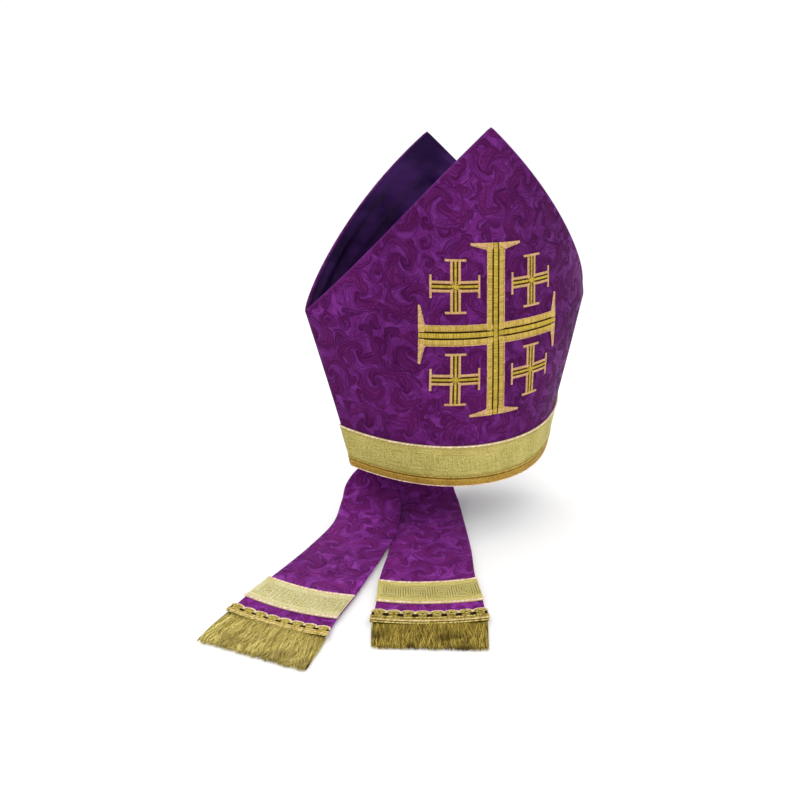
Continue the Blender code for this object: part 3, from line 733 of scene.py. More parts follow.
# Fringe: loose strands hung from a line along x, leaning in tufts
def makeFringeTree():
    tree, inputs = newTree("fringeStrands", (
        ("Width", "Float", 0.09), ("Length", "Float", 0.04), ("Strands", "Int", 1200),
        ("Thickness", "Float", 0.003), ("Thread", "Float", 0.0003), ("Lean", "Float", 0.1),
        ("Tuft", "Float", 0.3), ("Wave", "Float", 0.002), ("Uneven", "Float", 0.1),
        ("Seed", "Int", 1), ("Material", "Material", None)))
    half = calc(tree, "MULTIPLY", inputs["Width"], 0.5)
    left = combine(tree, calc(tree, "MULTIPLY", half, -1.0), 0.0, 0.0)
    row = addNode(tree, "GeometryNodeMeshLine", {"mode": "END_POINTS"}, Count=inputs["Strands"],
                  **{"Start Location": left, "Offset": combine(tree, half, 0.0, 0.0)})
    seed = inputs["Seed"]
    up = calc(tree, "MULTIPLY", inputs["Thickness"], randomFloat(tree, 0.0, 1.0, seed))
    slide = randomFloat(tree, -0.0008, 0.0008, calc(tree, "ADD", seed, 1))
    rise = randomFloat(tree, -0.0012, 0.0006, calc(tree, "ADD", seed, 2))
    moved = addNode(tree, "GeometryNodeSetPosition", Geometry=row.outputs[0],
                    Offset=combine(tree, slide, rise, up))
    tinted = storeTint(tree, moved.outputs[0], calc(tree, "ADD", seed, 3))
    strand = addNode(tree, "GeometryNodeCurvePrimitiveLine", Start=(0.0, 0.0, 0.0), End=(0.0, -1.0, 0.0))
    bent = addNode(tree, "GeometryNodeResampleCurve", Curve=strand.outputs[0], Count=9)
    position = tree.nodes.new("GeometryNodeInputPosition").outputs[0]
    tuft = noise(tree, position, 70.0, 1.0, "3D")
    lean = calc(tree, "MULTIPLY", calc(tree, "SUBTRACT", tuft, 0.5), inputs["Tuft"])
    loose = calc(tree, "MULTIPLY", inputs["Lean"], randomFloat(tree, -1.0, 1.0, calc(tree, "ADD", seed, 4)))
    turn = combine(tree, 0.0, 0.0, calc(tree, "ADD", lean, loose))
    short = randomFloat(tree, calc(tree, "SUBTRACT", 1.0, inputs["Uneven"]), 1.0, calc(tree, "ADD", seed, 5))
    long = calc(tree, "MULTIPLY", inputs["Length"], short)
    strands = addNode(tree, "GeometryNodeInstanceOnPoints", Points=tinted, Instance=bent.outputs[0],
                      Rotation=addNode(tree, "FunctionNodeEulerToRotation", i0=turn).outputs[0],
                      Scale=combine(tree, 1.0, long, 1.0))
    real = addNode(tree, "GeometryNodeRealizeInstances", i0=strands.outputs[0])
    factor = tree.nodes.new("GeometryNodeSplineParameter").outputs["Factor"]
    marked = storeFloat(tree, real.outputs[0], "down", factor)
    here = vectorCalc(tree, "SUBTRACT", noise(tree, position, 160.0, 1.0, "3D", "Color"), (0.5, 0.5, 0.5))
    sway = vectorCalc(tree, "MULTIPLY", here, (1.0, 0.0, 0.5))
    amount = calc(tree, "MULTIPLY", inputs["Wave"], calc(tree, "POWER", factor, 0.8))
    waved = addNode(tree, "GeometryNodeSetPosition", Geometry=marked, Offset=scaled(tree, sway, amount))
    profile = addNode(tree, "GeometryNodeCurvePrimitiveCircle", Resolution=3, Radius=inputs["Thread"])
    tubes = addNode(tree, "GeometryNodeCurveToMesh", Curve=waved.outputs[0],
                    **{"Profile Curve": profile.outputs[0], "Fill Caps": True})
    endTree(tree, tubes.outputs[0], inputs["Material"])
    return tree


# One thread of satin stitch, unit wide and long: a low arch, ridged along its top
def makeArchThread():
    stations = ((-1.0, 0.0), (-0.74, 0.62), (0.0, 1.0), (0.74, 0.62), (1.0, 0.0))
    points = []
    for y, dome in stations:
        points += [(-0.58, y, dome * 0.90 - 0.04), (0.58, y, dome * 0.90 - 0.04), (0.0, y, dome + 0.06)]
    faces = [(0, 2, 1), (12, 13, 14)]
    for number in range(len(stations) - 1):
        here = number * 3
        for corner in range(3):
            other = (corner + 1) % 3
            faces.append((here + corner, here + other, here + 3 + other, here + 3 + corner))
    mesh = bpy.data.meshes.new("archThread")
    mesh.from_pydata(points, [], faces)
    return mesh


archThread = bpy.data.objects.new("archThread", makeArchThread())
scene.collection.objects.link(archThread)
cordTree = makeCordTree()
satinTree = makeSatinTree(archThread)
keyTree = makeKeyTree()
fringeTree = makeFringeTree()
print("node trees built")


# Twisted cord along a line of points, bent onto a surface
def layCord(points, size, spacing, seed, slot, place, **settings):
    mesh = runTree(cordTree, lineMesh(points), {
        "Spacing": size * spacing, "Thickness": size, "Seed": seed, "Material": mats[slot], **settings})
    return wrapOnto(mesh, place)


# Panels
panels = {
    "across": 92,          # quads across a panel
    "bodyRows": 44,
    "hornRows": 72,
    "edgeRound": 0.0008,
    "edgeRoll": 0.0004,    # turned cloth stands proud along the horn's edge
    "rollWidth": 0.0024,
    "ripple": 0.0008,
    "rippleLength": 0.085,
    "rippleEdge": 0.02,            # the ripples fade out this near to an edge
    "rippleRim": (0.040, 0.060),   # and below these heights
    "highlightIn": 0.0009,              # painted highlight: a pale line along the horn's rolled edge
    "highlightWidth": 0.0012,
    "tipRound": 0.0018,    # softens the horn's point
    "tipHalf": 0.0002,
    "tipDrop": 0.0009,
    "rowEase": 1.7,        # rows lie closer towards the point
    "cut": (0.3680, 0.3450),
    "cutArea": 0.0850,
}


def hornHeights(low, high, rows):
    rise = 1.0 - (1.0 - np.linspace(0.0, 1.0, rows + 1)) ** panels["rowEase"]
    return lerp(low, high, rise)


edgeSteps = (1.0, 1.7, 2.6, 3.7)     # rows beside a cloth's edge, in edge radii
edgeRoom = 5.0


# Cross-section of a layer: over the outer face, round the right edge, back inside and round the
# left one. Returns shares of the half-width, distances in from the edge in edge radii, and
# depths from 0 to 1. It starts in the middle of the left edge, so that points pair up.
def ringStations(across, turns=4):
    steps = np.array(edgeSteps)
    ends = np.ones(len(steps))
    shares = np.concatenate([-ends, np.linspace(-1.0, 1.0, across + 1), ends])
    inset = np.concatenate([steps, np.full(across + 1, edgeRoom), steps[::-1]])
    edge = np.linspace(0.0, math.pi, turns + 2)[1:-1]
    share = np.concatenate([shares, np.ones(turns), shares[::-1], -np.ones(turns)])
    back = np.concatenate([inset, 1.0 - np.sin(edge), inset, 1.0 - np.sin(edge)])
    deep = np.concatenate([np.zeros(len(shares)), (1.0 - np.cos(edge)) / 2.0, np.ones(len(shares)),
                           (1.0 + np.cos(edge)) / 2.0])
    return (np.roll(item, turns // 2) for item in (share, back, deep))


# One closed wall of cloth on a panel's surface, from outward to inward of the outer face
def layerSkin(name, heights, outward, inward, inset, side, across, rounding, bulge, material, uvShift):
    share, back, deep = ringStations(across)
    high = spread(heights, share)[0]
    depth = lerp(outward, inward, deep)
    half = layerHalf(high, -depth, inset)
    half = np.sqrt(np.maximum(half ** 2 - panels["tipRound"] ** 2, panels["tipHalf"] ** 2))
    arc = share * (half - np.minimum(rounding, half * 0.12) * back)
    fromEdge = half - np.abs(arc)
    out = bulge(arc, high, fromEdge, deep) - depth
    points = panelPlace(arc, high, out, side)
    uvs = np.stack([arc + uvShift, high + 0.9 * uvShift], axis=-1)
    piece = skin(name, points, uvs, material)
    onHorn = smooth(mitre["shoulderHeight"], mitre["shoulderHeight"] + 0.010, high)
    # painted highlight along the horn's rolled edge, on the outer face only
    edgeHighlight = gauss(fromEdge - panels["highlightIn"], panels["highlightWidth"]) * onHorn * (1.0 - deep)
    layer = piece.data.attributes.new("edgeHighlight", "FLOAT", "POINT")
    layer.data.foreach_set("value", edgeHighlight.astype(np.float32).ravel())
    return piece


def makePanels():
    p = panels
    m = mitre
    body = np.linspace(0.0, m["shoulderHeight"], p["bodyRows"] + 1)
    horn = hornHeights(m["shoulderHeight"], m["apexHeight"] - p["tipDrop"], p["hornRows"])
    heights = np.concatenate([body, horn[1:]])
    cloths = {}
    for side, name, seed in ((1, "front_panel", 11), (-1, "back_panel", 23)):

        def bulge(arc, high, fromEdge, deep):
            calm = smooth(0.0, p["rippleEdge"], fromEdge) * smooth(*p["rippleRim"], high)
            wave = p["ripple"] * ripple(arc, high, p["rippleLength"], seed) * calm
            onHorn = smooth(m["shoulderHeight"] - 0.004, m["shoulderHeight"] + 0.012, high)
            roll = p["edgeRoll"] * gauss(fromEdge, p["rollWidth"]) * onHorn
            return wave + roll * (1.0 - 2.0 * deep)

        piece = layerSkin(name + "_cloth", heights, 0.0, m["wall"], 0.0, side, p["across"],
                          p["edgeRound"], bulge, mats["damask"], 0.0 if side == 1 else 0.6)
        cloths[name] = dress(piece, "damask", name)
    print("panels made")
    return cloths


panelCloths = makePanels()

# Lining of the horns
lining = {
    "gap": 0.0004, "wall": 0.0010, "inset": 0.0009, "hemLift": 0.0003, "drop": 0.0025,
    "rows": 60, "across": 96, "edgeRound": 0.0004,
    "fold": 0.0011, "foldLength": 0.026, "foldDrift": 2.2, "driftLength": 0.12, "apexCurve": 0.010,
    "puff": 0.0022, "puffLength": 0.10, "edgeCalm": 0.012, "apexCalm": 0.085,
    "pucker": 0.5, "puckerLength": 0.0085, "puckerLean": 0.6, "puckerCorner": (0.095, 0.150),
    "cut": (0.3640, 0.1940), "cutArea": 0.0357,
}


def makeLinings():
    m = mitre
    n = lining
    outward = m["wall"] + n["gap"]
    heights = hornHeights(m["shoulderHeight"] + n["hemLift"], m["apexHeight"] - n["drop"], n["rows"])
    for side, place, seed in ((1, "front", 31), (-1, "back", 47)):

        def bulge(arc, high, fromEdge, deep):
            calm = smooth(0.0, n["edgeCalm"], fromEdge) * smooth(0.0, n["apexCalm"], m["apexHeight"] - high)
            # the folds follow the hem and pass under the apex in a curve
            along = fromEdge + np.abs(arc) - np.sqrt(arc ** 2 + n["apexCurve"] ** 2)
            drift = n["foldDrift"] * ripple(arc, high, n["driftLength"], seed)
            long = np.sin(2.0 * math.pi * along / n["foldLength"] + drift)
            # small puckers in the corners
            corner = smooth(*n["puckerCorner"], np.abs(arc))
            rays = np.sin(2.0 * math.pi * (np.abs(arc) + n["puckerLean"] * high) / n["puckerLength"])
            fold = n["fold"] * (long + n["pucker"] * corner * rays)
            fold = fold + n["puff"] * (0.5 + 0.5 * ripple(arc, high, n["puffLength"], seed + 1))
            return -deep * calm * np.maximum(fold + n["fold"], 0.0)

        piece = layerSkin(f"lining_{place}_satin", heights, outward, outward + n["wall"], n["inset"], side,
                          n["across"], n["edgeRound"], bulge, mats["satin"], 0.3 * side)
        dress(piece, "lining_satin", f"lining_{place}")
    print("linings made")


makeLinings()

# Gusset: a soft trough between the horns, with pleats that run down from both hems
gusset = {
    "gap": 0.0008, "wall": 0.0012, "sag": 0.34, "rows": 160, "across": 36,
    "endShort": 2.0 / 24.0,      # it stops this share of the shoulders' width before the side seams
    "pleat": 0.0016, "pleatLength": 0.0125, "pleatDrift": 3.0, "driftLength": 0.08,
    "crease": 0.8, "creaseLength": 0.035, "endCalm": 0.012, "hemRound": 0.006,
    "cut": (0.3640, 0.1520), "cutArea": 0.0383,
}


def makeGusset():
    m = mitre
    g = gusset
    inward = m["wall"] + g["gap"]
    half = layerHalf(np.array(m["shoulderHeight"]), -inward) * (1.0 - g["endShort"])
    share, back, deep = ringStations(g["across"])
    arc = spread(np.linspace(-1.0, 1.0, g["rows"] + 1) * half, share)[0]
    across = spread(arc[:, 0], share * (1.0 - g["hemRound"] * back))[1]
    hem = panelPlace(arc, m["shoulderHeight"], -inward)
    reach = np.abs(hem[..., 1])
    room = (1.0 - across ** 2) * smooth(0.0, g["endCalm"], reach)
    drift = g["pleatDrift"] * ripple(arc, across * 0.05, g["driftLength"], 5)
    folds = np.sin(2.0 * math.pi * arc / g["pleatLength"] + drift)
    creases = g["crease"] * ripple(arc, across * reach, g["creaseLength"], 6)
    pleats = g["pleat"] * room * (folds + creases)
    low = g["sag"] * reach * (1.0 - across ** 2)
    z = hem[..., 2] - low + pleats - g["wall"] * deep
    points = np.stack([hem[..., 0], reach * across, z], axis=-1)
    uvs = np.stack([arc, across * reach], axis=-1)
    trough = dress(skin("crown_gusset_satin", points, uvs, mats["satin"]), "lining_satin", "crown_gusset")
    print("gusset made")


makeGusset()

# Rim edging and galloon
rim = {
    "around": 360, "gap": 0.0004,
    "edgingHeight": 0.0080, "edgingThick": 0.0014, "edgingCrown": 0.25,
    "galloonLow": 0.0083, "galloonHeight": 0.0330, "galloonThick": 0.0010,
    "selvedge": 0.0018, "wovenLine": 0.0008, "wovenLineIn": 0.0024,
    "keyCell": 0.0040, "keyLine": 0.0015, "keyLift": 0.00012,
    # the lip under the edging, and a dark brown cord along the edging's top that is painted shadow between
    # edging and galloon
    "stitching": (
        {"height": 0.0006, "out": 0.0012, "size": 0.0014, "seed": 7, "slot": "selvedge"},
        {"height": 0.0080, "out": 0.0011, "size": 0.0007, "seed": 8, "slot": "shadow"},
    ),
}


# Place on a strip round the rim: along from 0 to 1 starts behind the left seam
def rimPlace(along, height, out):
    along = np.mod(np.asarray(along, float), 1.0) * 2.0
    share = np.where(along <= 1.0, 2.0 * along - 1.0, 3.0 - 2.0 * along)
    turn = sectionAt(height)[1]
    half = freeHalf(height) + out / np.tan(turn)
    front = panelPlace(share * half, height, out)
    front[..., 1] = np.minimum(front[..., 1], 0.0)
    front[..., 1] *= np.where(along <= 1.0, 1.0, -1.0)
    return front


def rimStrip(name, low, high, inside, thick, crown, material):
    # section: outer face from low to high with rounded shoulders, then back down inside
    points = 15
    up = np.linspace(0.0, 1.0, points)
    level = 2.0 * up - 1.0
    rounded = np.sqrt(np.clip(1.0 - np.abs(level) ** 6, 0.0, 1.0))
    dome = rounded * (1.0 + crown * (1.0 - level ** 2))
    height = np.concatenate([lerp(low, high, up), lerp(low, high, up[::-1])])
    out = np.concatenate([inside + thick * np.maximum(dome, 0.12), np.full(points, inside)])
    along = np.arange(rim["around"]) / rim["around"]
    rings = rimPlace(*spread(along, height), out)
    run = np.arange(rim["around"] + 1) / rim["around"] * 4.0 * mitre["rimHalf"]
    uvs = np.stack(spread(run, height), axis=-1)
    return skin(name, rings, uvs, material, looped=True)


# Classic single key, in cells: the line winds in and out again before the next one
keyPath = ((0, 0), (4, 0), (4, 3), (2, 3), (2, 2), (3, 2), (3, 1), (1, 1), (1, 4), (5, 4), (5, 0))


def keyUnit(cell):
    return lineMesh([(x * cell, (y - 2.0) * cell) for x, y in keyPath])


def makeRim():
    r = rim
    length = 4.0 * mitre["rimHalf"]
    edging = rimStrip("rim_edging_twill", 0.0, r["edgingHeight"], r["gap"], r["edgingThick"],
                      r["edgingCrown"], mats["edging"])
    dress(edging, "edging", "rim_edging")
    middle = r["galloonLow"] + r["galloonHeight"] / 2.0
    ground = rimStrip("galloonGround", r["galloonLow"], r["galloonLow"] + r["galloonHeight"],
                      r["gap"], r["galloonThick"], 0.0, mats["galloon"])
    face = r["gap"] + r["galloonThick"]

    def ride(x, y, z):
        return rimPlace(x / length, middle + y, face + z)

    count = int(length / (5.0 * r["keyCell"]))
    pitch = length / count
    parts = [takeMesh(ground)]
    keys = runTree(keyTree, keyUnit(pitch / 5.0), {
        "Count": count, "Pitch": pitch, "Width": r["keyLine"], "Height": r["keyLift"] * 2.0,
        "Material": mats["faintKey"]})
    parts.append(wrapOnto(keys, ride))
    edge = r["galloonHeight"] / 2.0 - r["selvedge"] / 2.0
    lineEdge = edge - r["wovenLineIn"]
    for place, size, seed, slot in ((edge, r["selvedge"], 3, "selvedge"), (-edge, r["selvedge"], 4, "cord"),
                                    (lineEdge, r["wovenLine"], 5, "faintKey"),
                                    (-lineEdge, r["wovenLine"], 6, "faintKey")):
        parts.append(layCord([(0.0, place), (length, place)], size, 0.8, seed, slot, ride))
    dress(joinMeshes("galloon_band_woven", parts), "galloon", "galloon_band")

    trims = []
    # the second cord is painted shadow where the galloon meets the edging
    for item in r["stitching"]:
        out = r["gap"] + item["out"]
        trims.append(layCord([(0.0, 0.0), (length, 0.0)], item["size"], 0.9, item["seed"], item["slot"],
                             lambda x, y, z: rimPlace(x / length, item["height"] + y, out + z)))
    lip = joinMeshes("rim_stitching", trims)
    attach(lip, "root")
    print("rim made")


makeRim()

# Embroidered crosses
cross = {
    "height": 0.1497, "up": 0.0796, "side": 0.0769,
    "outerMiddle": 0.0064, "outerHalf": 0.0030, "centreHalf": 0.0026,
    "spike": 0.0268, "spikeRoot": 0.0028, "spikeTip": 0.0007,
    "knee": (0.45, 0.57),      # bend of a spike: shares of its reach and of its taper
    "centreRoom": 0.0006,      # the side bars stop this short of the upright one
    "lift": 0.0011, "ground": 0.0005, "spacing": 0.00055,
    "lean": 0.025, "slip": 0.0005, "sag": 0.0022, "stretch": 0.0022,
    "outline": 0.0010, "outlineLift": 0.0002,
    "smallSide": 0.0422, "smallUp": 0.0432, "smallShift": (0.0011, -0.0005), "smallLength": 0.0250,
    "smallOuter": 0.0039, "smallOuterHalf": 0.0014, "smallCentreHalf": 0.0013,
    "smallBar": 0.0102, "smallBarHalf": 0.0012, "smallLift": 0.0009, "knot": 0.62,
    "barGround": 0.00035, "smallBarGround": 0.0003, "sink": 0.0004,
}


def satinBar(points, halves, lift, slot, seed, lean=0.12):
    return runTree(satinTree, lineMesh(points, halves), {
        "Spacing": cross["spacing"], "Lift": lift, "Lean": lean, "Seed": seed, "Material": mats[slot]})


# Lays flat embroidery on the panel. It leans a little, as it was sewn.
def crossWrap(mesh, centreX, centreY, lift):
    c = cross

    def place(x, y, z):
        high = centreY + y
        return panelPlace(centreX + x + c["lean"] * high, c["height"] + high, lift + z)

    return wrapOnto(mesh, place)


# The crossing of the large cross sits low, and its upper arm is the longer one
def settle(x, y, z):
    c = cross
    drop = c["sag"] * gauss(y, 0.050) - c["stretch"] * smooth(0.050, c["up"], y)
    return np.stack([x + c["slip"], y - drop, z], axis=-1)


# Flat ground under the bars, seen as the dark lines between them
def groundBar(halfWidth, halfLength, thick, slot, quarter):
    stations = np.linspace(-halfLength, halfLength, int(halfLength / 0.0015) + 1)
    wide = np.linspace(-halfWidth, halfWidth, 7)
    run, across = spread(stations, np.concatenate([wide, wide[::-1]]))
    level = spread(stations, np.concatenate([np.full(7, thick), np.zeros(7)]))[1]
    flat = (across, run) if quarter == 0 else (run, across)
    return takeMesh(skin("crossGround", np.stack([*flat, level], axis=-1), np.stack(flat, axis=-1),
                         mats[slot]))


# Points turned about the crossing by quarters
def turned(points, quarter):
    for step in range(quarter):
        points = [(-y, x) for x, y in points]
    return points


def makeMainCross():
    c = cross
    flat = []
    outlines = []
    half = c["outerHalf"]
    inside = c["outerMiddle"] - half
    outside = c["outerMiddle"] + half
    for quarter in range(4):
        end = c["up"] if quarter % 2 == 0 else c["side"]
        for way in (1, -1):
            middle = c["outerMiddle"] * way
            bar = [(middle, inside), (middle, end)]
            flat.append(satinBar(turned(bar, quarter), [half, half], c["lift"], "thread",
                                 10 + quarter * 2 + way, 0.12 * way))
            spine = end - c["spikeRoot"]
            tip = end - c["spikeTip"]
            kneeOut, kneeUp = c["knee"]
            spike = [(inside * way, spine), (outside * way, spine),
                     (lerp(outside, c["spike"], kneeOut) * way, lerp(spine, tip, kneeUp)),
                     (c["spike"] * way, tip)]
            widths = [c["spikeRoot"], c["spikeRoot"], lerp(c["spikeRoot"], c["spikeTip"], kneeUp),
                      c["spikeTip"]]
            flat.append(satinBar(turned(spike, quarter), widths, c["lift"] * 0.9, "contour",
                                 30 + quarter * 2 + way, 0.0))
            lower = end - 2.0 * c["spikeRoot"]
            contour = [(outside, outside), (outside, lower - 0.0010), (outside + 0.0012, lower + 0.0004),
                       (c["spike"], end - 2.0 * c["spikeTip"]), (c["spike"], end), (inside, end)]
            contour = turned([(x * way, y) for x, y in contour], quarter)
            cord = layCord(contour, c["outline"], 0.85, 60 + quarter * 2 + way, "contour", settle, Slant=0.5)
            outlines.append(crossWrap(cord, 0.0, 0.0, c["ground"] + c["outlineLift"]))
    # the upright centre bar runs through, the side ones stop against it
    middle = c["centreHalf"]
    flat.append(satinBar([(0.0, -c["up"]), (0.0, c["up"])], [middle] * 2, c["lift"], "olive", 50, -0.1))
    for way in (1, -1):
        bar = [((middle + c["centreRoom"]) * way, 0.0), (c["side"] * way, 0.0)]
        flat.append(satinBar(bar, [middle] * 2, c["lift"], "olive", 51 + way, -0.1))
    edge = c["outerMiddle"] + half * 0.6
    for quarter, long in enumerate((c["up"], c["side"])):
        flat.append(groundBar(edge, long - 0.0006, c["barGround"], "backing", quarter))
    parts = outlines + [crossWrap(wrapOnto(mesh, settle), 0.0, 0.0, c["ground"] - c["sink"]) for mesh in flat]
    dress(joinMeshes("cross_main_stitched", parts), "embroidery", "cross_main")


def makeSmallCross(number, placeX, placeY):
    c = cross
    flat = []
    long = c["smallLength"]
    end = long - 0.001
    lift = c["smallLift"]
    outer = [c["smallOuterHalf"]] * 2
    for quarter in range(4):
        for way in (1, -1):
            middle = c["smallOuter"] * way
            bar = turned([(middle, c["smallOuter"] - c["smallOuterHalf"]), (middle, end)], quarter)
            flat.append(satinBar(bar, outer, lift, "peach", 100 + number * 20 + quarter * 2 + way))
        spine = long - c["smallBarHalf"]
        bar = turned([(-c["smallBar"], spine), (c["smallBar"], spine)], quarter)
        flat.append(satinBar(bar, [c["smallBarHalf"]] * 2, lift, "peach", 200 + number * 10 + quarter))
    for quarter in range(2):
        bar = turned([(0.0, -end), (0.0, end)], quarter)
        flat.append(satinBar(bar, [c["smallCentreHalf"]] * 2, lift, "olive", 300 + number * 10 + quarter))
    edge = c["smallOuter"] + c["smallOuterHalf"] * 0.6
    for quarter in range(2):
        flat.append(groundBar(edge, end, c["smallBarGround"], "shadow", quarter))
    # the knot: a square of stitches, then two that cross over it
    knot = c["smallOuter"] * c["knot"]
    flat.append(satinBar([(-knot, 0.0), (knot, 0.0)], [knot, knot], lift * 1.1, "olive", 400 + number, 0.6))
    reach = knot * 0.95
    for hand in (-1.0, 1.0):
        flat.append(satinBar([(-reach, -reach * hand), (reach, reach * hand)], [knot * 0.3] * 2,
                             lift * 1.35, "olive", 410 + number, 0.2))
    parts = [crossWrap(mesh, placeX, placeY, c["ground"] - c["sink"]) for mesh in flat]
    dress(joinMeshes(f"cross_small_{number}_stitched", parts), "embroidery", f"cross_small_{number}")


makeMainCross()
smallPlaces = ((-1, 1), (1, 1), (-1, -1), (1, -1))
for number, (x, z) in enumerate(smallPlaces, start=1):
    shiftX, shiftY = cross["smallShift"]
    makeSmallCross(number, x * cross["smallSide"] + shiftX, z * cross["smallUp"] + shiftY)
print("crosses made")

# Lappets
lappets = {
    "wall": 0.0020, "tuck": 0.0200, "seatGap": 0.0008, "rootWidth": 0.0560, "endWidth": 0.0920,
    "drop": 0.0570, "reach": 0.2500, "leftRoot": -0.0560, "rightRoot": 0.0080,
    "cutWidth": 0.0920, "leftCut": (0.3070, 0.0228), "rightCut": (0.3275, 0.0242),
    "galloon": 0.0355, "galloonThick": 0.0009, "galloonToHeader": 0.0125,
    "headerHeight": 0.0110, "headerLap": 0.0025, "overhang": 0.0010,
    "fringeLength": 0.0420, "fringeThick": 0.0036, "gap": 0.0003,
    "rows": 150, "tuckRows": 9, "across": 28, "bandRows": 21, "bandAcross": 44,
    "beyond": 0.08,        # the surface goes on this far past the end, for the fringe
    "ripple": 0.0008, "rippleLength": 0.07, "curl": 0.0022, "bow": 0.0016,
    "edgePuff": 0.00025, "stitchDip": 0.0002, "stitchIn": 0.0045,
    "selvedge": 0.0021, "selvedgeIn": 0.0009, "wovenLine": 0.0009, "wovenLineIn": 0.0030,
    "keyCells": 21.0,      # cells across the band: four keys of five, and one for the ends
}
# the bands' keys: a light line with a darker, wider one under it
bandKeys = {
    "left": ({"slot": "galloon", "width": 0.0024, "height": 0.00012},
             {"slot": "galloonLeft", "width": 0.0013, "height": 0.00026}),
    "right": ({"slot": "keyEdge", "width": 0.0027, "height": 0.00012},
              {"slot": "key", "width": 0.0014, "height": 0.00030}),
}
# x and y as shares of the reach from the root, yaw in degrees, edge heights as shares of the drop
lappetCourse = {
    "left": (
        {"x": -0.044, "y": 0.013, "yaw": 8.0, "left": -0.30, "right": -0.35},
        {"x": -0.076, "y": -0.007, "yaw": -6.0, "left": -0.53, "right": -0.63},
        {"x": -0.120, "y": -0.081, "yaw": -40.0, "left": -0.81, "right": -0.81},
        {"x": -0.212, "y": -0.221, "yaw": -48.0, "left": -0.95, "right": -0.915},
        {"x": -0.356, "y": -0.365, "yaw": -47.5, "left": -1.0, "right": -0.955},
        {"x": -0.546, "y": -0.541, "yaw": -52.0, "left": -1.0, "right": -1.0},
        {"x": -0.666, "y": -0.643, "yaw": -53.0, "left": -1.0, "right": -1.0},
        {"x": -0.732, "y": -0.707, "yaw": -53.0, "left": -1.0, "right": -1.0},
    ),
    "right": (
        {"x": -0.011, "y": -0.026, "yaw": -10.0, "left": -0.42, "right": -0.42},
        {"x": -0.071, "y": -0.074, "yaw": -18.0, "left": -0.80, "right": -0.77},
        {"x": -0.119, "y": -0.196, "yaw": -24.0, "left": -0.985, "right": -0.98},
        {"x": -0.187, "y": -0.330, "yaw": -25.5, "left": -1.0, "right": -1.0},
        {"x": -0.315, "y": -0.570, "yaw": -25.5, "left": -1.0, "right": -1.0},
        {"x": -0.419, "y": -0.746, "yaw": -27.0, "left": -1.0, "right": -1.0},
        {"x": -0.481, "y": -0.876, "yaw": -28.5, "left": -1.0, "right": -1.0},
        {"x": -0.531, "y": -0.970, "yaw": -28.5, "left": -1.0, "right": -1.0},
    ),
}


# The middle surface of a lappet: run down its length, across from -1 to 1, up from its face
class LappetWay:
    def __init__(self, side):
        d = lappets
        root = d["leftRoot"] if side == "left" else d["rightRoot"]
        inward = mitre["wall"] + d["seatGap"] + d["wall"] / 2.0
        centre = panelPlace(root, 0.0, -inward, -1)
        self.stations = np.linspace(-1.0, 1.0, 5)
        middles = [centre]
        for row in lappetCourse[side]:
            middles.append(np.array([centre[0] + row["x"] * d["reach"], centre[1] + row["y"] * d["reach"],
                                     d["drop"] * (row["left"] + row["right"]) / 2.0]))
        runs = [0.0]
        for before, after in zip(middles, middles[1:]):
            runs.append(runs[-1] + float(np.linalg.norm(after - before)))
        self.length = runs[-1]
        rows = []
        for height in (d["tuck"], 0.0):
            arc = root + self.stations * d["rootWidth"] / 2.0
            rows.append(panelPlace(arc, height, -inward, -1))
        for row, middle, run in zip(lappetCourse[side], middles[1:], runs[1:]):
            half = lerp(d["rootWidth"], d["endWidth"], run / self.length) / 2.0
            yaw = math.radians(row["yaw"])
            level = d["drop"] * lerp(row["left"], row["right"], (self.stations + 1.0) / 2.0)
            rows.append(np.stack([middle[0] + self.stations * half * math.cos(yaw),
                                  middle[1] + self.stations * half * math.sin(yaw), level], axis=-1))
        self.rows = np.array(rows)
        self.runs = np.array([-d["tuck"]] + runs)
        # the last row goes straight on, so that the fringe has somewhere to lie
        way = (self.rows[-1] - self.rows[-2]) / (self.runs[-1] - self.runs[-2])
        self.rows = np.concatenate([self.rows, [self.rows[-1] + way * d["beyond"]]])
        self.runs = np.append(self.runs, self.runs[-1] + d["beyond"])
        # slopes are one-sided at both ends, and straight from the lappet's end on
        before = np.maximum(np.arange(len(self.runs)) - 1, 0)
        after = np.minimum(np.arange(len(self.runs)) + 1, len(self.runs) - 1)
        spans = (self.runs[after] - self.runs[before])[:, None, None]
        self.slopes = (self.rows[after] - self.rows[before]) / spans
        self.slopes[-2:] = way

    def halfWidth(self, run):
        share = np.clip(run / self.length, 0.0, 1.0)
        return lerp(lappets["rootWidth"], lappets["endWidth"], share) / 2.0

    def middle(self, run, across):
        number = np.clip(np.searchsorted(self.runs, run, side="right") - 1, 0, len(self.runs) - 2)
        span = (self.runs[number + 1] - self.runs[number])[..., None, None]
        t = (run - self.runs[number])[..., None, None] / span
        first, last = self.rows[number], self.rows[number + 1]
        out, into = self.slopes[number] * span, self.slopes[number + 1] * span
        columns = (first * (2 * t ** 3 - 3 * t ** 2 + 1) + out * (t ** 3 - 2 * t ** 2 + t)
                   + last * (3 * t ** 2 - 2 * t ** 3) + into * (t ** 3 - t ** 2))
        # one smooth curve through the five columns
        total = 0.0
        for column, station in enumerate(self.stations):
            weight = np.ones_like(across)
            for other in self.stations:
                if other != station:
                    weight = weight * (across - other) / (station - other)
            total = total + columns[..., column, :] * weight[..., None]
        return total

    def place(self, run, across, up):
        run, across, up = np.broadcast_arrays(
            np.asarray(run, float), np.asarray(across, float), np.asarray(up, float))
        start = np.maximum(run - 0.001, self.runs[0])
        along = self.middle(start + 0.002, across) - self.middle(start, across)
        beside = self.middle(run, across + 0.01) - self.middle(run, across - 0.01)
        normal = np.cross(along, beside)
        normal /= np.maximum(np.linalg.norm(normal, axis=-1, keepdims=True), 1e-12)
        return self.middle(run, across) + normal * up[..., None]


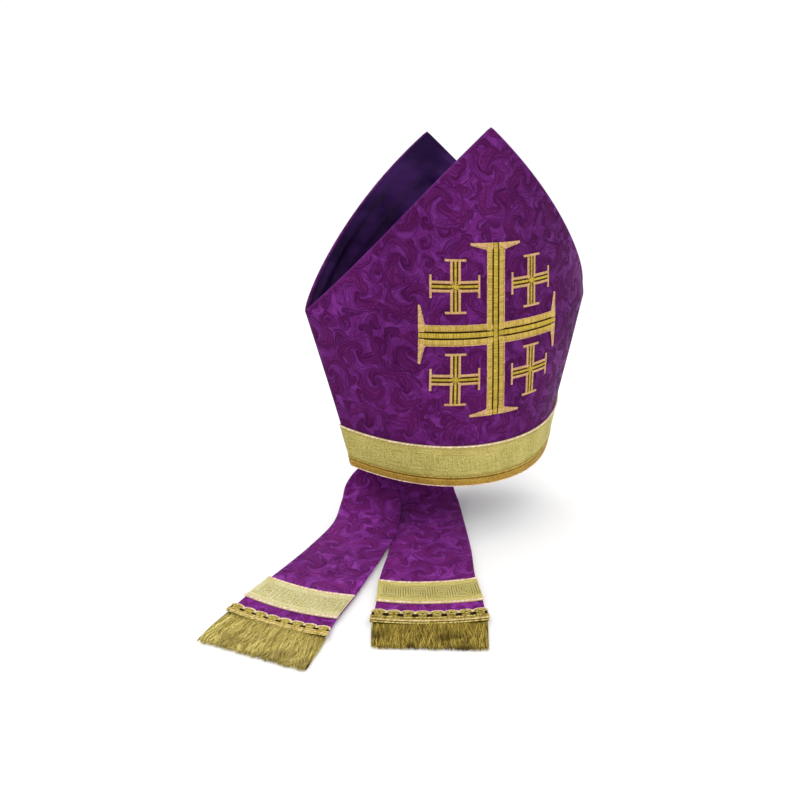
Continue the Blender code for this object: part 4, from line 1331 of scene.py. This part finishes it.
# Slow waves of the loose cloth, none where it is sewn in and little under the trimmings,
# with its sewn edges curling up towards the end
def lappetWave(way, run, across, seed):
    loose = smooth(0.01, 0.06, run) * (1.0 - 0.7 * smooth(way.length - 0.09, way.length - 0.04, run))
    wave = lappets["ripple"] * loose * ripple(run, across * 0.04, lappets["rippleLength"], seed)
    return wave + lappets["curl"] * (across ** 2 - 0.25) * smooth(0.12, 0.24, run)


def makeLappet(side, seed):
    d = lappets
    way = LappetWay(side)
    node = f"lappet_{side}"
    share, back, deep = ringStations(d["across"])
    down = np.concatenate([np.linspace(-d["tuck"], 0.0, d["tuckRows"])[:-1],
                           np.linspace(0.0, way.length, d["rows"])])
    run = spread(down, share)[0]
    across = share * (1.0 - 0.0010 * back / way.halfWidth(run))
    fromEdge = (1.0 - np.abs(across)) * way.halfWidth(run)
    puff = d["edgePuff"] * smooth(0.0, 0.004, fromEdge)
    puff = puff - d["stitchDip"] * gauss(fromEdge - d["stitchIn"], 0.0008)
    up = d["wall"] / 2.0 * (1.0 - 2.0 * deep) + np.where(deep < 0.5, puff, 0.0)
    points = way.place(run, across, up + lappetWave(way, run, across, seed))
    uvs = np.stack([across * way.halfWidth(run) + 1.3 + 0.4 * seed, -run], axis=-1)
    cloth = dress(skin(node + "_cloth", points, uvs, mats["litLappetDamask"]), "damask", node)

    top = d["wall"] / 2.0 + d["gap"]
    headerTop = way.length - d["headerHeight"] + d["headerLap"]
    trims = [makeBand(side, way, headerTop, top, seed), makeHeader(side, way, headerTop, top, seed),
             makeFringe(side, way)]


# Woven band across the lappet, sewn on a little bowed
def makeBand(side, way, headerTop, top, seed):
    d = lappets
    bandMiddle = headerTop - d["galloonToHeader"] - d["galloon"] / 2.0
    bandHalf = float(way.halfWidth(np.array(bandMiddle)))

    def onBand(x, y, z):
        here = bandMiddle - y + d["bow"] * (0.6 - (x / bandHalf) ** 2)
        return way.place(here, x / bandHalf, top + z + lappetWave(way, here, x / bandHalf, seed))

    def onFace(x, y, z):
        return onBand(x, y, z + d["galloonThick"])

    share, back, deep = ringStations(d["bandAcross"])
    y, x = spread(np.linspace(d["galloon"] / 2.0, -d["galloon"] / 2.0, d["bandRows"]),
                  share * (bandHalf + 0.0003 - 0.0004 * back))
    flat = onBand(x, y, d["galloonThick"] * (1.0 - deep))
    # the left band's paler weave is painted light
    weaveSlot = "galloonLeft" if side == "left" else "galloonRight"
    parts = [takeMesh(skin("bandGround", flat, np.stack([x, y], axis=-1), mats[weaveSlot]))]
    cell = 2.0 * bandHalf / d["keyCells"]
    for line in bandKeys[side]:
        keys = runTree(keyTree, keyUnit(cell), {
            "Count": 4, "Pitch": 5.0 * cell, "Width": line["width"], "Height": 2.0 * line["height"],
            "Material": mats[line["slot"]]})
        parts.append(wrapOnto(keys, lambda x, y, z: onFace(x - 10.0 * cell, y, z)))
    edge = d["galloon"] / 2.0 - d["selvedgeIn"]
    lineEdge = edge - d["wovenLineIn"]
    for place, size, slot in ((edge, d["selvedge"], "selvedge"), (-edge, d["selvedge"], "selvedge"),
                              (lineEdge, d["wovenLine"], weaveSlot), (-lineEdge, d["wovenLine"], weaveSlot)):
        parts.append(layCord([(-bandHalf, place), (bandHalf, place)], size, 0.8, seed + 5, slot, onFace))
    return dress(joinMeshes(f"lappet_galloon_{side}_woven", parts), "galloon", f"lappet_galloon_{side}")


# Fringe header: on a tape, scallops of nested cords with eyelets between, then straight cords
header = {
    "scallops": 8, "tape": 0.0006, "tapeStart": 0.16, "tapeEnd": 0.86,
    "reach": {"left": 0.0135, "right": 0.0218},
    "bulge": {"left": 0.0006, "right": 0.0020},
    "droop": 0.0008, "foot": 0.33, "rise": 0.29, "eyelet": 0.0062,
    "archSteps": 12, "archPower": 0.8,
}
# nested cords of a scallop: how far each stands in from the outer one, in metres
scallopCords = (
    {"inset": 0.0000, "size": 0.0014, "slot": "selvedge", "lift": 0.0011},
    {"inset": 0.0012, "size": 0.0013, "slot": "fringeLeft", "lift": 0.0012},
    {"inset": 0.0024, "size": 0.0013, "slot": "cord", "lift": 0.0010},
    {"inset": 0.0036, "size": 0.0012, "slot": "fringeLeft", "lift": 0.0008},
)
# straight cords: place down the header as a share of its reach
straightCords = (
    {"place": 0.58, "size": 0.0014, "slot": "fringeLeft", "lift": 0.0009},
    {"place": 0.66, "size": 0.0012, "slot": "cord", "lift": 0.0008},
    {"place": 0.75, "size": 0.0016, "slot": "braid", "lift": 0.0011},
    {"place": 0.84, "size": 0.0013, "slot": "fringeLeft", "lift": 0.0008},
)


def makeHeader(side, way, headerTop, top, seed):
    d = lappets
    h = header
    reach = h["reach"][side]
    halfWidth = d["endWidth"] / 2.0 + d["overhang"]
    pitch = 2.0 * halfWidth / h["scallops"]

    # the braid humps up in its middle and comes down over the head of the fringe
    def onEnd(x, y, z):
        down = -y / reach
        hump = h["bulge"][side] * np.sin(math.pi * np.clip(down, 0.0, 1.0)) - h["droop"] * down ** 2
        across = x / (d["endWidth"] / 2.0)
        run = headerTop - y + 0.5 * d["bow"] * (0.6 - across ** 2)
        return way.place(run, across, top + z + hump + lappetWave(way, run, across, seed))

    share, back, deep = ringStations(40)
    y, x = spread(np.linspace(-reach * h["tapeStart"], -reach * h["tapeEnd"], 9),
                  share * (halfWidth - 0.0002 * back))
    flat = onEnd(x, y, h["tape"] * (1.0 - deep))
    parts = [takeMesh(skin("headerTape", flat, np.stack([x, y], axis=-1), mats["backing"]))]

    def addCord(points, count, item, number):
        parts.append(layCord(points, item["size"], 0.74, seed * 20 + number, item["slot"],
                             lambda x, y, z: onEnd(x, y, z + item["lift"]),
                             Count=count, Pitch=pitch, Stretch=1.6, Slant=0.55))

    foot = -h["foot"] * reach
    rise = h["rise"] * reach
    for number, item in enumerate(scallopCords):
        arch = []
        for step in range(h["archSteps"] + 1):
            angle = math.pi * step / h["archSteps"]
            arch.append((-halfWidth + pitch / 2.0 - (pitch / 2.0 - item["inset"]) * math.cos(angle),
                         foot + max(rise - item["inset"], 0.0003) * math.sin(angle) ** h["archPower"]))
        addCord(arch, h["scallops"], item, number)
    # short cords under each scallop leave a dark eyelet between it and the next
    for number, drop in enumerate((0.07, 0.16)):
        room = (pitch - h["eyelet"]) / 2.0
        bar = [(-halfWidth + pitch / 2.0 + hand * room, foot - drop * reach) for hand in (-1.0, 1.0)]
        addCord(bar, h["scallops"], scallopCords[1 + number], 8 + number)
    for number, item in enumerate(straightCords):
        place = -item["place"] * reach
        addCord([(-halfWidth, place), (halfWidth, place)], 1, item, 12 + number)
    return dress(joinMeshes(f"fringe_header_{side}_braid", parts), "fringe", f"fringe_header_{side}")


# Fringe. gather: how far the tips draw in to the middle. cut: the strands' length as a share of the
# fringe's, and slant: how it grows from one side to the other.
fringe = {
    "strands": 1350, "thread": 0.00032, "start": 0.0010, "spare": 0.0008, "sideSpare": 0.0010,
    "lift": 0.0003, "topSpare": 0.0006,
    "slump": ((0.0, 0.012, 0.15), (0.018, 0.042, -0.30)),   # from, to, and change of height
    "turnBack": 0.95,      # share of the half-width past which leaning strands turn back
    "left": {"gather": 0.02, "cut": 1.03, "slant": 0.0, "slot": "fringeLeft",
             "look": {"Lean": 0.34, "Tuft": 0.7, "Wave": 0.0085, "Uneven": 0.10, "Seed": 40}},
    "right": {"gather": 0.10, "cut": 1.0, "slant": 0.07, "slot": "fringeRight",
              "look": {"Lean": 0.26, "Tuft": 0.35, "Wave": 0.0055, "Uneven": 0.10, "Seed": 60}},
}


def makeFringe(side, way):
    d = lappets
    f = fringe[side]
    under = -d["wall"] / 2.0
    halfWidth = d["endWidth"] / 2.0 + d["overhang"]
    start = way.length + fringe["start"]
    bend = fringe["turnBack"]
    spare = fringe["spare"]
    strands = runTree(fringeTree, lineMesh([(0.0, 0.0), (0.01, 0.0)]), {
        "Width": 2.0 * halfWidth - fringe["sideSpare"], "Length": d["fringeLength"] - spare,
        "Thickness": d["fringeThick"] - spare, "Thread": fringe["thread"], "Strands": fringe["strands"],
        "Material": mats[f["slot"]], **f["look"]})

    def hang(x, y, z):
        y = y * (f["cut"] + f["slant"] * x / halfWidth)
        lift = np.clip(z, 0.0, d["fringeThick"] - fringe["topSpare"]) + fringe["lift"]
        slump = 0.85
        for low, high, change in fringe["slump"]:
            slump = slump + change * smooth(low, high, -y)
        limit = halfWidth * (1.0 - f["gather"] * np.clip(-y / d["fringeLength"], 0.0, 1.0))
        share = np.abs(x) / halfWidth
        rest = 1.0 - bend
        share = np.where(share > bend, bend + rest * np.tanh((share - bend) / rest), share)
        return way.place(start - y, np.sign(x) * share * limit / (d["endWidth"] / 2.0), under + lift * slump)

    piece = joinMeshes(f"fringe_{side}_strands", [wrapOnto(strands, hang)], recalc=False)
    return dress(piece, "fringe", f"fringe_{side}")


makeLappet("left", 2)
makeLappet("right", 3)
bpy.data.objects.remove(archThread)
print("lappets made")

# Floor, light and camera
studio = {
    "floor": (0.985, 0.985, 0.982), "floorZ": -0.0588, "floorHalf": 30.0, "world": 1.02,
    "azimuth": -30.177, "elevation": 12.617, "roll": 0.107, "distance": 0.8228,
    "aim": (0.0, 0.0, 0.1236), "lens": 36.38, "shiftX": -0.0705, "shiftY": -0.0706,
    "lampAim": (0.0, 0.0, 0.12),
    "lamps": (
        {"name": "key", "place": (-0.9, -1.5, 1.3), "size": 1.2, "power": 13.0},
        {"name": "fill", "place": (1.4, -0.9, 0.9), "size": 1.4, "power": 3.0},
        {"name": "top", "place": (0.1, 0.6, 1.9), "size": 1.4, "power": 5.0},
    ),
}


def makeStudio():
    s = studio
    half = s["floorHalf"]
    mesh = bpy.data.meshes.new("floor")
    mesh.from_pydata([(-half, -half, s["floorZ"]), (half, -half, s["floorZ"]),
                      (half, half, s["floorZ"]), (-half, half, s["floorZ"])], [], [(0, 1, 2, 3)])
    material = bpy.data.materials.new("floorPaper")
    material.use_nodes = True
    shader = material.node_tree.nodes["Principled BSDF"]
    shader.inputs["Base Color"].default_value = (*s["floor"], 1.0)
    shader.inputs["Roughness"].default_value = 0.9
    mesh.materials.append(material)
    floor = bpy.data.objects.new("floor", mesh)
    scene.collection.objects.link(floor)

    world = bpy.data.worlds.new("studio")
    world.use_nodes = True
    sky = world.node_tree.nodes["Background"]
    sky.inputs["Color"].default_value = (1.0, 1.0, 1.0, 1.0)
    sky.inputs["Strength"].default_value = s["world"]
    scene.world = world

    for item in s["lamps"]:
        data = bpy.data.lights.new(item["name"], "AREA")
        data.size = item["size"]
        data.energy = item["power"]
        lamp = bpy.data.objects.new(item["name"], data)
        lamp.location = item["place"]
        towards = Vector(s["lampAim"]) - lamp.location
        lamp.rotation_euler = towards.to_track_quat("-Z", "Y").to_euler()
        scene.collection.objects.link(lamp)

    data = bpy.data.cameras.new("camera")
    data.lens = s["lens"]
    data.sensor_width = 36.0
    data.shift_x = s["shiftX"]
    data.shift_y = s["shiftY"]
    data.clip_start = 0.01
    camera = bpy.data.objects.new("camera", data)
    azimuth = math.radians(s["azimuth"])
    elevation = math.radians(s["elevation"])
    level = math.cos(elevation)
    back = Vector((math.sin(azimuth) * level, -math.cos(azimuth) * level, math.sin(elevation)))
    camera.location = Vector(s["aim"]) + back * s["distance"]
    camera.rotation_euler = (-back).to_track_quat("-Z", "Y").to_euler()
    camera.rotation_euler.rotate_axis("Z", math.radians(s["roll"]))
    scene.collection.objects.link(camera)
    scene.camera = camera
    scene.view_settings.view_transform = "Standard"
    print("floor, light and camera set")


makeStudio()
